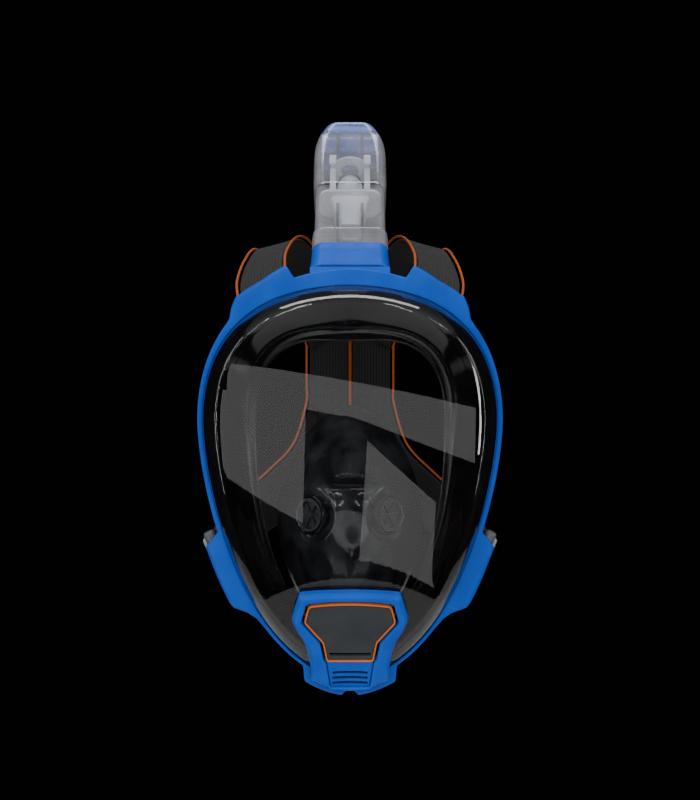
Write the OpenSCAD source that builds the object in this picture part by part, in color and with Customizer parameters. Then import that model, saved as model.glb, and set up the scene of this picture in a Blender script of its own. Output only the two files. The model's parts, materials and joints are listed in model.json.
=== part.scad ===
// Full-face snorkel mask: a rigid rim holds a domed visor and a silicone skirt, with a
// dry-top snorkel at the brow, a drain valve under a bezel at the chin and an X-shaped
// head strap that hooks to the rim in four places.
// +X is the wearer's left, -Y is the way the wearer looks and +Z is up.
// The origin is in the middle of the face opening, in the plane of the face seal.

/* [Rim] */
// Half width of the rim's inner edge
half_w = 89.3; // [80:0.1:107.2]
// Height of the rim's inner edge above the rim's widest line
rise_up = 78.5; // [68:0.1:94]
// Drop of the rim's inner edge below the rim's widest line
drop_down = 153.5; // [140:0.1:184.2]
// Roundness of the egg outline, where 2 is an ellipse
egg_power = 1.86; // [1.7:0.02:2.1]
// Height of the rim's widest line above the origin
widest_z = 36; // [24:1:44]
// Distance from the face seal's plane forward to the rim's front
rim_forward = 60; // [54:1:70]
// How far the rim curls back towards the ears
side_wrap = 22; // [10:1:30]
// Width of the rim's front face at the sides
side_band = 3.2; // [2.9:0.1:5]
// Width of the rim's front face at the brow
brow_band = 10; // [7:0.5:13]
// Width of the rim's front face at the chin
chin_band = 1.6; // [1.6:0.1:4]
// Depth of the rim from front to back
rim_depth = 16; // [15:0.1:20]
// Thickness of the rim's outer wall
rim_wall = 1.6; // [1.2:0.1:2.2]
// Thickness of the rim's front lip
rim_lip = 3; // [2:0.1:4]
// Thickness of the strap pads and ears
pad_t = 6; // [4:0.5:9]

/* [Visor] */
// Height of the visor's front above the rim's front
visor_height = 28; // [20:1:36]
// Width of the steep wall round the visor
wall_w = 12; // [9:0.5:15]
// How far the visor's front curves back at the sides
side_bow = 16; // [8:1:22]
// How far the visor's front curves back at the brow
brow_bow = 6; // [2:1:12]
// How far the visor's front curves back towards the chin
chin_bow = 4; // [1:1:8]
// Thickness of the visor
visor_t = 2.4; // [1.8:0.1:3.2]

/* [Skirt] */
// Half width of the face seal
seal_half_w = 72; // [62:1:74]
// Height of the face seal above the widest line
seal_up = 62; // [54:1:64]
// Drop of the face seal below the widest line
seal_down = 150; // [128:1:152]
// Width of the lip that folds in from the face seal
lip_w = 14; // [8:1:18]
// Thickness of the silicone skirt
skirt_t = 2.6; // [2:0.1:3.2]
// How far the temples of the seal lie behind its brow
temple_back = 14; // [6:1:20]

/* [Nose pocket] */
// Half width of the nose pocket
pocket_half_w = 46; // [40:1:50]
// Height of the nose pocket above its middle
pocket_up = 72; // [60:1:76]
// Drop of the nose pocket below its middle
pocket_down = 74; // [60:1:75]
// Depth of the nose pocket in front of the face seal
pocket_depth = 50; // [40:1:56]
// Radius of the inhale valves' holes
inhale_r = 10; // [8:0.5:11]

/* [Chin] */
// Tilt of the chin bezel from upright
chin_tilt = 20; // [12:1:26]
// Height of the chin bezel along its face
bezel_h = 65; // [58:1:70]
// Thickness of the chin bezel
bezel_t = 7; // [6.5:0.5:9]
// Radius of the drain valve's hole
drain_r = 14; // [11:0.1:15]
// Gap round the chin cover
cover_gap = 1.6; // [1:0.1:2.4]
// Width of the orange trim round the chin cover
trim_w = 1.2; // [0.8:0.1:1.8]

/* [Snorkel] */
// Backward lean of the snorkel
lean = 35; // [28:1:38]
// Width of the snorkel tube
tube_w = 44; // [36:0.1:46]
// Front to back size of the snorkel tube
tube_d = 29; // [26:0.5:31]
// Length of the clear tube between the band and the head
tube_len = 50; // [40:1:66]
// Wall of the snorkel tube
tube_wall = 2; // [1.6:0.1:2.6]
// Length of the collar that the snorkel plugs onto
plug_len = 13; // [10:0.5:16]
// Length of the coloured band at the snorkel's foot
band_len = 19; // [17:0.5:24]
// Length of the dry-top head without its cap
head_len = 44; // [40:1:56]
// Length of the snorkel's cap
cap_len = 9; // [7:0.5:12]
// Radius of the float
float_r = 8; // [6.5:0.1:8.6]
// Travel of the float
float_travel = 7; // [5:0.5:8]

/* [Strap] */
// Thickness of the strap's textile
strap_t = 3; // [2:0.2:4]
// Radius of the strap's piping
piping_r = 0.8; // [0.5:0.1:1.4]

/* [Hidden] */
$fn = 48;

// Clearances between pieces
seat_gap = 0.1;
run_gap = 0.08;
free_gap = 0.3;
flange_t = 2.2;

// Mesh fineness of the moulded shells
rim_step = 3.5;
shell_steps = 96;
pocket_steps = 56;

blue = [0.11, 0.36, 0.73];
black = [0.05, 0.05, 0.06];
grey = [0.19, 0.2, 0.21];
orange = [0.85, 0.42, 0.1];
clear = [0.8, 0.82, 0.86, 0.45];

// Egg outline: distance from its centre at an angle from straight up
function egg(a, w, up, down, power = egg_power) =
    let (low = (1 - cos(a)) / 2, h = up + (down - up) * low)
    pow(pow(abs(sin(a) / w), power) + pow(abs(cos(a) / h), power), -1 / power);
function inner_r(a) = egg(a, half_w, rise_up, drop_down);
function outer_r(a) = egg(a, half_w + side_band, rise_up + brow_band, drop_down + chin_band);
function rim_y(a) = -rim_forward + side_wrap * pow(sin(a), 2);
function at_polar(a, r, y) = [r * sin(a), y, widest_z + r * cos(a)];
function lerp(a, b, t) = a + (b - a) * t;

// How far the pads, ears and chin flange stand out from the rim, by angle from the top
pad_rise = 8.8;
ear_rise = 11.3;
flange_rise = 8.3;
outline_rise = [
    [0, 0], [21.8, 0], [22.6, pad_rise], [33, 0.72 * pad_rise], [43.5, 0.8 * pad_rise],
    [47.3, 0.45 * pad_rise], [50.5, 0.4], [53, 0],
    [131, 0], [131.4, 0.93 * ear_rise], [147, ear_rise], [148.4, 0.94 * ear_rise],
    [152.2, 0.35 * ear_rise], [155, 0.8], [158, 0],
    [169.4, 0], [170, flange_rise], [178.6, flange_rise], [178.8, 0.65 * flange_rise],
    [180, 0.65 * flange_rise]
];
function feature_rise(a) = lookup(a > 180 ? 360 - a : a, outline_rise);

// Angles round the rim: every corner of the features, with even steps between them
half_angles = [
    for (i = [0:len(outline_rise) - 2])
    let (a = outline_rise[i][0], b = outline_rise[i + 1][0], n = max(1, ceil((b - a) / rim_step)))
    for (k = [0:n - 1]) a + (b - a) * k / n
];
rim_angles = concat(
    half_angles, [180], [for (i = [len(half_angles) - 1:-1:1]) 360 - half_angles[i]]
);
shell_angles = [for (i = [0:shell_steps - 1]) 360 * i / shell_steps];

// Rows of points joined into triangles; the rows and the points in a row both close
function loop_faces(rows, cols) = [
    for (i = [0:rows - 1], j = [0:cols - 1])
    let (k = (i + 1) % rows, l = (j + 1) % cols)
    each [[i * cols + j, k * cols + l, i * cols + l], [i * cols + j, k * cols + j, k * cols + l]]
];
// The same with open rows, closed at each end by a fan to the last two points
function capped_faces(rows, cols) = concat(
    [
        for (i = [0:rows - 2], j = [0:cols - 1])
        let (k = i + 1, l = (j + 1) % cols)
        each [[i * cols + j, k * cols + l, i * cols + l], [i * cols + j, k * cols + j, k * cols + l]]
    ],
    [for (j = [0:cols - 1]) [rows * cols, j, (j + 1) % cols]],
    [for (j = [0:cols - 1]) [rows * cols + 1, (rows - 1) * cols + (j + 1) % cols, (rows - 1) * cols + j]]
);

// A section of [distance, depth] points swept round the rim's centre
module loop_sweep(angles, section) {
    rings = [for (a = angles) [for (p = section(a)) at_polar(a, p[0], p[1])]];
    polyhedron(points = [for (r = rings) each r], faces = loop_faces(len(rings), len(rings[0])));
}
// A shell given by closed rings from its outer pole to its inner pole
module pole_shell(rings, first, last) {
    polyhedron(
        points = concat([for (r = rings) each r], [first, last]),
        faces = capped_faces(len(rings), len(rings[0]))
    );
}

// ---------- Rim and clamp ring ----------
groove_r = function(a) outer_r(a) - rim_wall - seat_gap;
visor_seat = rim_lip + seat_gap;
bead_from = visor_seat + flange_t + seat_gap;
bead_t = 3.6;
bead_w = 3.2;
clamp_from = bead_from + bead_t + seat_gap;

rim_bevel = 1.1;
// How far the wall behind the pads lies inside the rim's outline
pad_step = 0.2;
module frame_rim() color(blue) loop_sweep(rim_angles, function(a)
    let (ri = inner_r(a), ro = outer_r(a), rt = ro + feature_rise(a), y = rim_y(a),
         bevel = rim_bevel, step = pad_step)
    [
        [ri, y + rim_lip], [ri, y + bevel], [ri + bevel, y], [rt - bevel, y], [rt, y + bevel],
        [rt, y + pad_t], [ro - step, y + pad_t], [ro - step, y + rim_depth],
        [ro - rim_wall, y + rim_depth], [ro - rim_wall, y + rim_lip]
    ]);

module clamp_ring() color(black) loop_sweep(shell_angles, function(a)
    let (r = groove_r(a), y = rim_y(a))
    [[r - bead_w + seat_gap, y + clamp_from], [r, y + clamp_from],
     [r, y + rim_depth - 0.5], [r - bead_w + seat_gap, y + rim_depth - 0.5]]);

// ---------- Visor ----------
// Depth of the chin bezel's back plane at a height
chin_z = widest_z - drop_down - 4.5;
chin_y = -rim_forward - 1.4;
function chin_plane(z) = chin_y - (z - chin_z) * tan(chin_tilt);
function visor_front(x, z) = max(
    -rim_forward - visor_height + side_bow * pow(x / half_w, 2)
        + brow_bow * pow(max(0, z - widest_z) / rise_up, 2)
        + chin_bow * pow(max(0, widest_z - z) / drop_down, 2),
    chin_plane(z) + 0.4
);
// The wall's profile: share of the wall's width, and share of the visor's height
wall_profile = [[1, 1], [0.75, 0.95], [0.54, 0.86], [0.33, 0.68], [0.17, 0.45], [0.06, 0.22], [0, 0]];
front_shares = [0.2, 0.45, 0.7, 0.88];
visor_inset = 0.3;
function visor_ring(inset, share, thick) = [
    for (a = shell_angles)
    let (r = inner_r(a) - visor_inset - inset - thick * (1 - share), p = at_polar(a, r, 0),
         edge = rim_y(a) + visor_seat)
    [p[0], edge + share * (visor_front(p[0], p[2]) - edge) + thick * share, p[2]]
];
function visor_plate(part, thick) = [
    for (a = shell_angles)
    let (r = (inner_r(a) - visor_inset - wall_w) * part, p = at_polar(a, r, 0))
    [p[0], visor_front(p[0], p[2]) + thick, p[2]]
];
function visor_flange(depth, inside) = [
    for (a = shell_angles)
    at_polar(a, inside ? inner_r(a) - visor_inset - visor_t : groove_r(a), rim_y(a) + depth)
];

// Places things on the chin: z runs up the bezel and -y out of its face
module at_chin(v = 0) translate([0, chin_y, chin_z]) rotate([chin_tilt, 0, 0])
    translate([0, 0, v]) children();
drain_v = 43;

module visor() color([0.1, 0.1, 0.12, 0.5]) difference() {
    pole_shell(
        concat(
            [for (s = front_shares) visor_plate(s, 0)],
            [for (p = wall_profile) visor_ring(p[0] * wall_w, p[1], 0)],
            [visor_flange(visor_seat, false), visor_flange(visor_seat + flange_t, false)],
            [visor_flange(visor_seat + flange_t, true)],
            [for (i = [len(wall_profile) - 2:-1:0])
                visor_ring(wall_profile[i][0] * wall_w, wall_profile[i][1], visor_t)],
            [for (i = [len(front_shares) - 1:-1:0]) visor_plate(front_shares[i], visor_t)]
        ),
        [0, visor_front(0, widest_z), widest_z],
        [0, visor_front(0, widest_z) + visor_t, widest_z]
    );
    at_chin(drain_v) rotate([90, 0, 0])
        cylinder(r = drain_r + seat_gap, h = visor_height, center = true, $fn = 64);
}

latch_w = 21.4;
latch_d = 6;
latch_t = 2;
latch_leg = 3.4;
latch_z = widest_z + rise_up - 4;
module visor_latch() color([0.75, 0.78, 0.82]) {
    translate([-latch_w / 2, latch_d - rim_forward, latch_z]) cube([latch_w, latch_d, latch_t]);
    for (side = [-1, 1])
        translate([
            side * (latch_w - latch_t) / 2 - latch_t / 2, latch_d + latch_t - rim_forward, latch_z + latch_t
        ]) cube([latch_t, latch_d - latch_t, latch_leg]);
}

// ---------- Skirt ----------
function seal_y(a) = temple_back * pow(sin(a), 2) + 10 * pow((1 - cos(a)) / 2, 4);
function seal_r(a) = egg(a, seal_half_w, seal_up, seal_down, 2);
function opening_r(a) = seal_r(a) - lip_w + 4 * (1 - cos(a)) / 2;
module skirt() color(black) loop_sweep(shell_angles, function(a)
    let (r = groove_r(a), y = rim_y(a), s = seal_r(a), e = seal_y(a), o = opening_r(a),
         neck = r - bead_w, tail = y + rim_depth)
    [
        [r, y + bead_from], [r, y + bead_from + bead_t], [neck, y + bead_from + bead_t],
        [neck, tail], [lerp(neck, s, 0.65), lerp(tail, e, 0.55)], [s, e - 5], [s - 1, e - 1], [s - 3, e],
        [o, e - 5], [o, e - 5 - 0.6 * skirt_t], [s - 1.6 * skirt_t, e - 2.2 * skirt_t],
        [lerp(neck, s, 0.65) - skirt_t, lerp(tail, e, 0.55)], [neck - skirt_t, tail],
        [neck - skirt_t, y + bead_from]
    ]);

// ---------- Nose pocket and inhale valves ----------
pocket_z = -28;
pocket_rim_y = 1;
inhale_x = 23;
inhale_z = -22;
inhale_tilt = 42;
function nose_bulge(x, z) = 13 * exp(-pow(x / 14, 2) - pow((z - 6) / 24, 2));
function pocket_r(a) = egg(a, pocket_half_w, pocket_up, pocket_down, 1.75);
function pocket_point(a, share, thick) =
    let (r = pocket_r(a) * share * (1 - thick / pocket_half_w),
         x = r * sin(a), z = pocket_z + r * cos(a), dome = 1 - pow(share, 2.6))
    [x, pocket_rim_y - (pocket_depth - thick) * dome - nose_bulge(x, z) * min(1, 3 * dome), z];
function pocket_ring(share, thick) = [
    for (i = [0:pocket_steps - 1]) pocket_point(360 * i / pocket_steps, share, thick)
];
pocket_shares = [0.18, 0.36, 0.54, 0.7, 0.82, 0.91, 0.97, 1];
// Depth of the pocket's front over a point of its outline plane
function pocket_front(x, z) =
    let (a = atan2(x, z - pocket_z), share = norm([x, z - pocket_z]) / pocket_r(a))
    pocket_rim_y - pocket_depth * (1 - pow(share, 2.6));
module at_inhale(side) translate([side * inhale_x, pocket_front(inhale_x, inhale_z), inhale_z])
    rotate([0, 0, side * inhale_tilt]) rotate([90, 0, 0]) children();
module nose_pocket() color(black) difference() {
    pole_shell(
        concat(
            [for (s = pocket_shares) pocket_ring(s, 0)],
            [for (i = [len(pocket_shares) - 1:-1:0]) pocket_ring(pocket_shares[i], skirt_t)]
        ),
        pocket_point(0, 0, 0), pocket_point(0, 0, skirt_t)
    );
    for (side = [-1, 1]) at_inhale(side) cylinder(r = inhale_r + seat_gap, h = 26, center = true);
}
// The seat is a spoked ring that fills the hole in the pocket's cheek
seat_front = 3;
seat_back = 5;
seat_wall = 1.6;
spoke_w = 1.2;
spoke_t = 1.4;
module spokes(r, wide, thick) for (turn = [0:60:120]) rotate([0, 0, turn])
    translate([1 - r, -wide / 2, 0]) cube([2 * r - 2, wide, thick]);
module inhale_valve_seat(side) color(grey) at_inhale(side) {
    difference() {
        translate([0, 0, -seat_back]) cylinder(r = inhale_r, h = seat_back + seat_front);
        translate([0, 0, -seat_back - 1]) cylinder(r = inhale_r - seat_wall, h = seat_back + seat_front + 2);
    }
    spokes(inhale_r, spoke_w, spoke_t);
}
inhale_flap_t = 0.8;
module inhale_valve_flap(side) color([0.7, 0.7, 0.72]) at_inhale(side)
    translate([0, 0, -inhale_flap_t - seat_gap]) cylinder(r = inhale_r - 2, h = inhale_flap_t);

// ---------- Chin bezel, cover and drain valve ----------
// Half outlines, from the top centre down, as [half width, height up the bezel]
bezel_half = [
    [0, bezel_h], [15, bezel_h - 0.4], [28.9, bezel_h - 1.5], [33.5, bezel_h - 17.6],
    [30.8, bezel_h - 24.8], [26.3, bezel_h - 32.5], [24, bezel_h - 40.3], [22.9, bezel_h - 48],
    [23, 7.9], [15, 3.9], [8, 2], [0, 1.3]
];
cover_top = bezel_h - 6.5;
cover_foot = 20.8;
cover_half = [
    [0, cover_top], [12, cover_top - 0.3], [23.6, cover_top - 1.6], [26.4, cover_top - 12.2],
    [15.7, cover_top - 25.8], [13.6, cover_foot + 1], [0, cover_foot]
];
// Louvre insert: half its width at the top and at the foot
insert_top = 13.2;
insert_foot = 11;
insert_from = 4.4;
insert_gap = 0.4;
module insert_outline(gap) polygon([
    [-insert_top - gap, cover_foot - 0.2 + 5 * gap], [insert_top + gap, cover_foot - 0.2 + 5 * gap],
    [insert_foot + gap, insert_from - gap], [-insert_foot - gap, insert_from - gap]
]);
function mirrored(half) = concat(
    half, [for (i = [len(half) - 1:-1:0]) if (half[i][0] > 0) [-half[i][0], half[i][1]]]
);
// Extrudes an upright outline from one depth to another, out of the bezel's face
module chin_plate(from, to) at_chin() rotate([90, 0, 0])
    translate([0, 0, from]) linear_extrude(to - from) children();

module chin_bezel() color(blue) chin_plate(0, bezel_t) difference() {
    polygon(mirrored(bezel_half));
    offset(delta = cover_gap) polygon(mirrored(cover_half));
    insert_outline(insert_gap);
}
cover_back = 3.5;
cover_front = 6;
// Slot across the cover's foot
cover_slot_half = 12;
cover_slot_h = 2;
// Pins that hold the cover in the bezel, beside the drain valve
pin_r = 1.5;
pin_x = drain_r + 3;
pin_v = drain_v;
module cover_outline(inset) offset(delta = -inset) polygon(mirrored(cover_half));
module chin_cover() color(grey) {
    chin_plate(cover_back, cover_front) difference() {
        cover_outline(trim_w + seat_gap);
        translate([-cover_slot_half, cover_foot + 4]) square([2 * cover_slot_half, cover_slot_h]);
    }
}
module cover_pins() color(grey) for (side = [-1, 1]) at_chin(pin_v)
    translate([side * pin_x, 0, 0]) rotate([90, 0, 0]) cylinder(r = pin_r, h = cover_back);
module chin_cover_trim() color(orange) chin_plate(cover_back, cover_front) difference() {
    cover_outline(0);
    cover_outline(trim_w);
}
louvre_half = 10.2;
louvre_h = 1.7;
louvre_pitch = 3.4;
module louvre_insert() color(blue) chin_plate(1.2, cover_front - 0.4) difference() {
    insert_outline(0);
    for (i = [0:2]) translate([-louvre_half, insert_from + 1.4 + i * louvre_pitch])
        square([2 * louvre_half, louvre_h]);
}
drain_flap_t = 0.9;
drain_seat_len = 5;
drain_lip = 1.4;
drain_wall = 2;
module at_drain() at_chin(drain_v) rotate([90, 0, 0]) children();
module drain_valve_seat() color(grey) at_drain() {
    difference() {
        union() {
            translate([0, 0, -drain_seat_len]) cylinder(r = drain_r, h = drain_seat_len, $fn = 64);
            translate([0, 0, -drain_seat_len])
                cylinder(r = drain_r + drain_wall, h = drain_lip, $fn = 64);
        }
        translate([0, 0, -drain_seat_len - 1])
            cylinder(r = drain_r - drain_wall, h = drain_seat_len + 2, $fn = 64);
    }
    translate([0, 0, -2.2]) spokes(drain_r, spoke_t, seat_wall);
}
module drain_valve_flap() color([0.7, 0.7, 0.72]) at_drain() translate([0, 0, seat_gap])
    cylinder(r = drain_r - 1, h = drain_flap_t);

// ---------- Snorkel ----------
foot_a = 16.5;
base_front = rim_y(foot_a) + rim_depth + 2 * seat_gap;
base_z = widest_z + rise_up + brow_band + 2.8;
band_wall = 2.1;
band_w = tube_w + 2 * (band_wall + run_gap);
band_d = tube_d + 2 * (band_wall + run_gap);
// Places things on the snorkel's axis, with z running up the tube
module on_axis(s = 0) translate([0, base_front, base_z]) rotate([-lean, 0, 0])
    translate([0, band_d / 2, s]) children();
module rounded(w, d, r) {
    square([w - 2 * r, d], center = true);
    square([w, d - 2 * r], center = true);
    for (x = [-1, 1], y = [-1, 1]) translate([x * (w / 2 - r), y * (d / 2 - r)]) circle(r = r);
}
module sleeve(w, d, r, wall, h) linear_extrude(h) difference() {
    rounded(w, d, r);
    rounded(w - 2 * wall, d - 2 * wall, r - wall);
}
corner_r = 6;
gasket_t = 1;
collar_len = 13;
// How far the collar's outside lies within the band's
collar_in = 0.8;
band_from = gasket_t + 2 * seat_gap;
band_to = band_from + band_len;
tube_from = plug_len + 0.6;
tube_to = band_to + tube_len;
head_to = tube_to + head_len;

plug_wall = 2.4;
sunk = 0.6;
module snorkel_base() color(blue) {
    on_axis(-sunk) sleeve(tube_w, tube_d, corner_r, plug_wall, plug_len + sunk);
    difference() {
        // wedge between the back of the rim, the skirt and the snorkel's foot
        rotate([90, 0, 90]) linear_extrude(band_w, center = true) polygon([
            [base_front, base_z - 6],
            [base_front, base_z],
            [base_front + band_d * cos(lean), base_z - band_d * sin(lean)],
            [base_front + band_d * cos(lean) - 1, base_z - band_d * sin(lean) - 1.2]
        ]);
        on_axis(-20) linear_extrude(30)
            rounded(tube_w - 2 * plug_wall, tube_d - 2 * plug_wall, corner_r - plug_wall);
    }
}
module socket_gasket() color(black) on_axis(0)
    sleeve(band_w - 1, band_d - 1, corner_r + 1.6, (band_w - 1 - tube_w) / 2 - seat_gap, gasket_t);

button_w = 12;
button_h = 6;
button_s = 7;
button_t = 2.2;
module snorkel_band() color(blue) on_axis(band_from) difference() {
    sleeve(band_w, band_d, corner_r + band_wall, band_wall, band_len);
    translate([0, band_d / 2, button_s])
        cube([button_w + 2 * free_gap, 3 * band_wall, button_h + 2 * free_gap], center = true);
}
module snorkel_collar() color(clear) on_axis(band_to)
    sleeve(
        band_w - 2 * collar_in, band_d - 2 * collar_in, corner_r + band_wall - collar_in,
        band_wall - collar_in, collar_len
    );
module latch_button() color(grey) on_axis(band_from + button_s)
    translate([0, (tube_d + button_t) / 2 + 1.7, 0]) cube([button_w, button_t, button_h], center = true);

rib_x = 7.7;
rib_h = 4;
rib_t = 1.4;
module snorkel_tube() color(clear) on_axis() {
    translate([0, 0, tube_from]) sleeve(tube_w, tube_d, corner_r, tube_wall, tube_to - tube_from);
    // ridges that part the inhale channel from the exhale channels
    for (x = [-1, 1], y = [-1, 1])
        translate([x * rib_x - rib_t / 2, y * (tube_d - 2 * tube_wall - rib_h) / 2 - rib_h / 2, band_to - 2])
            cube([rib_t, rib_h, tube_len - 12]);
}

// Dry-top head: its sides draw in towards the cap
head_hw = 23.2;
head_d = 36;
shoulder = 8;
shoulder_power = 3.2;
shoulder_from = tube_to + 20;
head_wall = 2;
function head_half(s, inset) = head_hw - inset
    - shoulder * pow(
        max(0, s - shoulder_from) / (head_to + cap_len - shoulder_from), shoulder_power
    );
module head_silhouette(from, to, inset) {
    steps = 12;
    right = [for (i = [0:steps]) let (s = lerp(from, to, i / steps)) [head_half(s, inset), s]];
    left = [for (i = [steps:-1:0]) [-right[i][0], right[i][1]]];
    rotate([90, 0, 0]) linear_extrude(2 * head_d, center = true) polygon(concat(right, left));
}
module head_block(from, to, inset) intersection() {
    head_silhouette(from, to, inset);
    translate([0, 0, from]) linear_extrude(to - from)
        rounded(2 * (head_hw - inset), head_d - 2 * inset, corner_r + 2 - inset);
}
vent_w = 13;
vent_h = 15;
vent_x = 10;
vent_below = 8;
module snorkel_head() color(clear) on_axis() difference() {
    head_block(tube_to - 2, head_to, 0);
    head_block(tube_to + 0.4, head_to + 1, head_wall);
    translate([0, 0, tube_to - 5]) linear_extrude(6) rounded(tube_w + 0.1, tube_d + 0.1, corner_r);
    // air windows through the back
    for (x = [-1, 1])
        translate([x * vent_x - vent_w / 2, head_d / 2 - 3 * head_wall, head_to - vent_h - vent_below])
        cube([vent_w, 6 * head_wall, vent_h]);
}
module snorkel_cap() color([0.45, 0.52, 0.8, 0.6]) on_axis() difference() {
    head_block(head_to, head_to + cap_len, 0);
    head_block(head_to - 1, head_to + cap_len - head_wall, head_wall);
}

// Float cage: a funnel in the tube, posts beside the float and a seat plate above it
cage_w = 25;
cage_d = 16;
funnel_len = 24;
funnel_foot_w = 13.4;
cage_wall = 1.3;
brim_in = tube_wall + seat_gap;
cage_from = tube_to - 4;
float_from = tube_to + 3;
float_h = 13;
float_seal_t = 1.5;
post_w = 4;
post_d = 7;
seat_from = float_from + float_h + float_seal_t + float_travel + seat_gap;
module funnel_shape(inset) rotate([90, 0, 0]) linear_extrude(cage_d - 2 * inset, center = true) polygon([
    [-cage_w / 2 + inset, cage_from], [-funnel_foot_w / 2 + inset, cage_from - funnel_len],
    [funnel_foot_w / 2 - inset, cage_from - funnel_len], [cage_w / 2 - inset, cage_from]
]);
module float_cage() color(clear) on_axis() {
    difference() {
        funnel_shape(0);
        funnel_shape(cage_wall);
    }
    // brim that fits the tube, with exhale windows, posts and seat plate
    translate([0, 0, cage_from]) linear_extrude(2) difference() {
        rounded(tube_w - 2 * brim_in, tube_d - 2 * brim_in, corner_r - tube_wall);
        square([cage_w - 2 * cage_wall, cage_d - 2 * cage_wall], center = true);
        for (x = [-1, 1]) translate([x * ((tube_w - 2 * tube_wall + cage_w) / 4), 0])
            square([(tube_w - 2 * tube_wall - cage_w) / 4, cage_d - 4], center = true);
    }
    for (x = [-1, 1]) translate([x * (float_r + 3) - post_w / 2, -post_d / 2, cage_from + 2])
        cube([post_w, post_d, seat_from - cage_from - 2]);
    translate([0, 0, seat_from]) difference() {
        cylinder(r = float_r + 5, h = 1.6);
        translate([0, 0, -1]) cylinder(r = float_r - 2.5, h = 4);
    }
}
module float() color([0.75, 0.78, 0.86, 0.8]) on_axis(float_from) rotate_extrude()
    polygon([
        [0, 0], [float_r - 2, 0], [float_r, 3], [float_r, float_h - 4], [float_r - 2, float_h], [0, float_h]
    ]);
module float_seal() color([0.85, 0.85, 0.87]) on_axis(float_from + float_h)
    cylinder(r = float_r - 1, h = float_seal_t);

// ---------- Strap clips and bars ----------
ear_a = 139;
ear_r = outer_r(ear_a) + ear_rise;
ear_back = rim_y(ear_a) + pad_t + free_gap + 3;
ear_at = [ear_r * sin(ear_a), ear_back, widest_z + ear_r * cos(ear_a)];
ear_turn = 24;
clip_in = 1;
clip_w = 7.5;
clip_len = 38;
clip_d = 12;
clip_below = 12;
// Places things behind the ear: x outwards, z up along the ear's outer edge
module at_ear(side) mirror([side < 0 ? 1 : 0, 0, 0])
    translate(ear_at) rotate([0, ear_turn, 0]) children();
press_w = 16;
press_z = 6;
clip_wall = 2;
clip_travel = 1.5;
spring_r = 2.4;
module clip_body(side) color(black) at_ear(side) difference() {
    translate([-clip_w - clip_in, 0, -clip_below]) cube([clip_w, clip_d, clip_len]);
    translate([-clip_w - clip_in + clip_wall, clip_wall, press_z])
        cube([clip_w, clip_d - 2 * clip_wall, press_w + 2 * free_gap]);
}
// The button is hollow behind, so that it closes over its spring
button_in = -clip_w - clip_in + clip_wall + clip_travel + free_gap;
button_out = 0.8;
spring_len = 3;
spring_wire = 0.8;
module clip_button(side) color([0.6, 0.64, 0.72]) at_ear(side) difference() {
    translate([button_in, clip_wall + free_gap, press_z + free_gap])
        cube([button_out - button_in, clip_d - 2 * clip_wall - 2 * free_gap, press_w]);
    at_spring() cylinder(r = spring_r + free_gap, h = spring_len + clip_travel + free_gap);
}
module at_spring()
    translate([-clip_w - clip_in + clip_wall, clip_d / 2, press_z + free_gap + press_w / 2])
    rotate([0, 90, 0]) children();
module clip_spring(side) color([0.65, 0.65, 0.67]) at_ear(side) at_spring() difference() {
    cylinder(r = spring_r, h = spring_len);
    translate([0, 0, -1]) cylinder(r = spring_r - spring_wire, h = spring_len + 2);
}
clip_bar_r = 1.4;
clip_bar_len = 26;
bar_foot = 3;
module clip_bar(side) color([0.6, 0.6, 0.62]) at_ear(side)
    translate([-clip_w / 2 - clip_in, clip_d + bar_foot, -10]) {
        cylinder(r = clip_bar_r, h = clip_bar_len);
        for (z = [0, clip_bar_len - 2]) translate([-clip_bar_r, -bar_foot, z])
            cube([2 * clip_bar_r, bar_foot + 0.4, 2]);
    }

brow_a = 33;
brow_r = outer_r(brow_a) + 3;
bar_back = 11;
bar_half = 14;
bar_r = 1.5;
module at_brow(side, a) mirror([side < 0 ? 1 : 0, 0, 0])
    translate([brow_r * sin(a), rim_y(a) + pad_t + free_gap, widest_z + brow_r * cos(a)])
    rotate([0, brow_a, 0]) children();
module brow_bar(side) color([0.6, 0.6, 0.62]) {
    at_brow(side, brow_a) translate([-bar_half, bar_back - pad_t, 0]) rotate([0, 90, 0])
        cylinder(r = bar_r, h = 2 * bar_half);
    for (end = [-1, 1]) {
        a = brow_a + end * atan((bar_half - 1) / brow_r);
        at_brow(side, a) translate([-1, 0, -bar_r])
            cube([2, bar_back - pad_t + rim_y(brow_a) - rim_y(a), 2 * bar_r]);
    }
}

// ---------- Strap ----------
// Edges of the wearer's left half, from the rim to the back of the head. The first points
// of the upper arm hang on the brow bar and the last of the lower arm on the clip's bar.
brow_at = [brow_r * sin(brow_a), rim_y(brow_a) + bar_back, widest_z + brow_r * cos(brow_a)];
upper_outer = [
    brow_at + [14.1, 4.5, -6.6], brow_at + [16.6, 30.5, 4.9],
    [66, 22, 136], [61, 60, 147.5], [51, 104, 138], [38, 140, 112], [30, 157, 86]
];
upper_inner = [
    brow_at + [-10.4, 5.5, 9.9], brow_at + [-9.9, 32.5, 21.9],
    [37, 25, 150], [31, 60, 154], [23, 100, 148], [11, 138, 126], [0.6, 157, 105]
];
lower_upper = [
    [30, 157, 44], [40, 153, 13], [60, 124, -8], [77, 74, -22],
    ear_at + [5.5, 63.2, 24.6], ear_at + [3, 21.7, 16.6]
];
lower_lower = [
    [0.6, 157, -12], [24, 150, -30], [54, 118, -44], [70, 70, -55],
    ear_at + [-5.5, 61.2, -4.4], ear_at + [-7.5, 21.7, -7.4]
];
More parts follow.
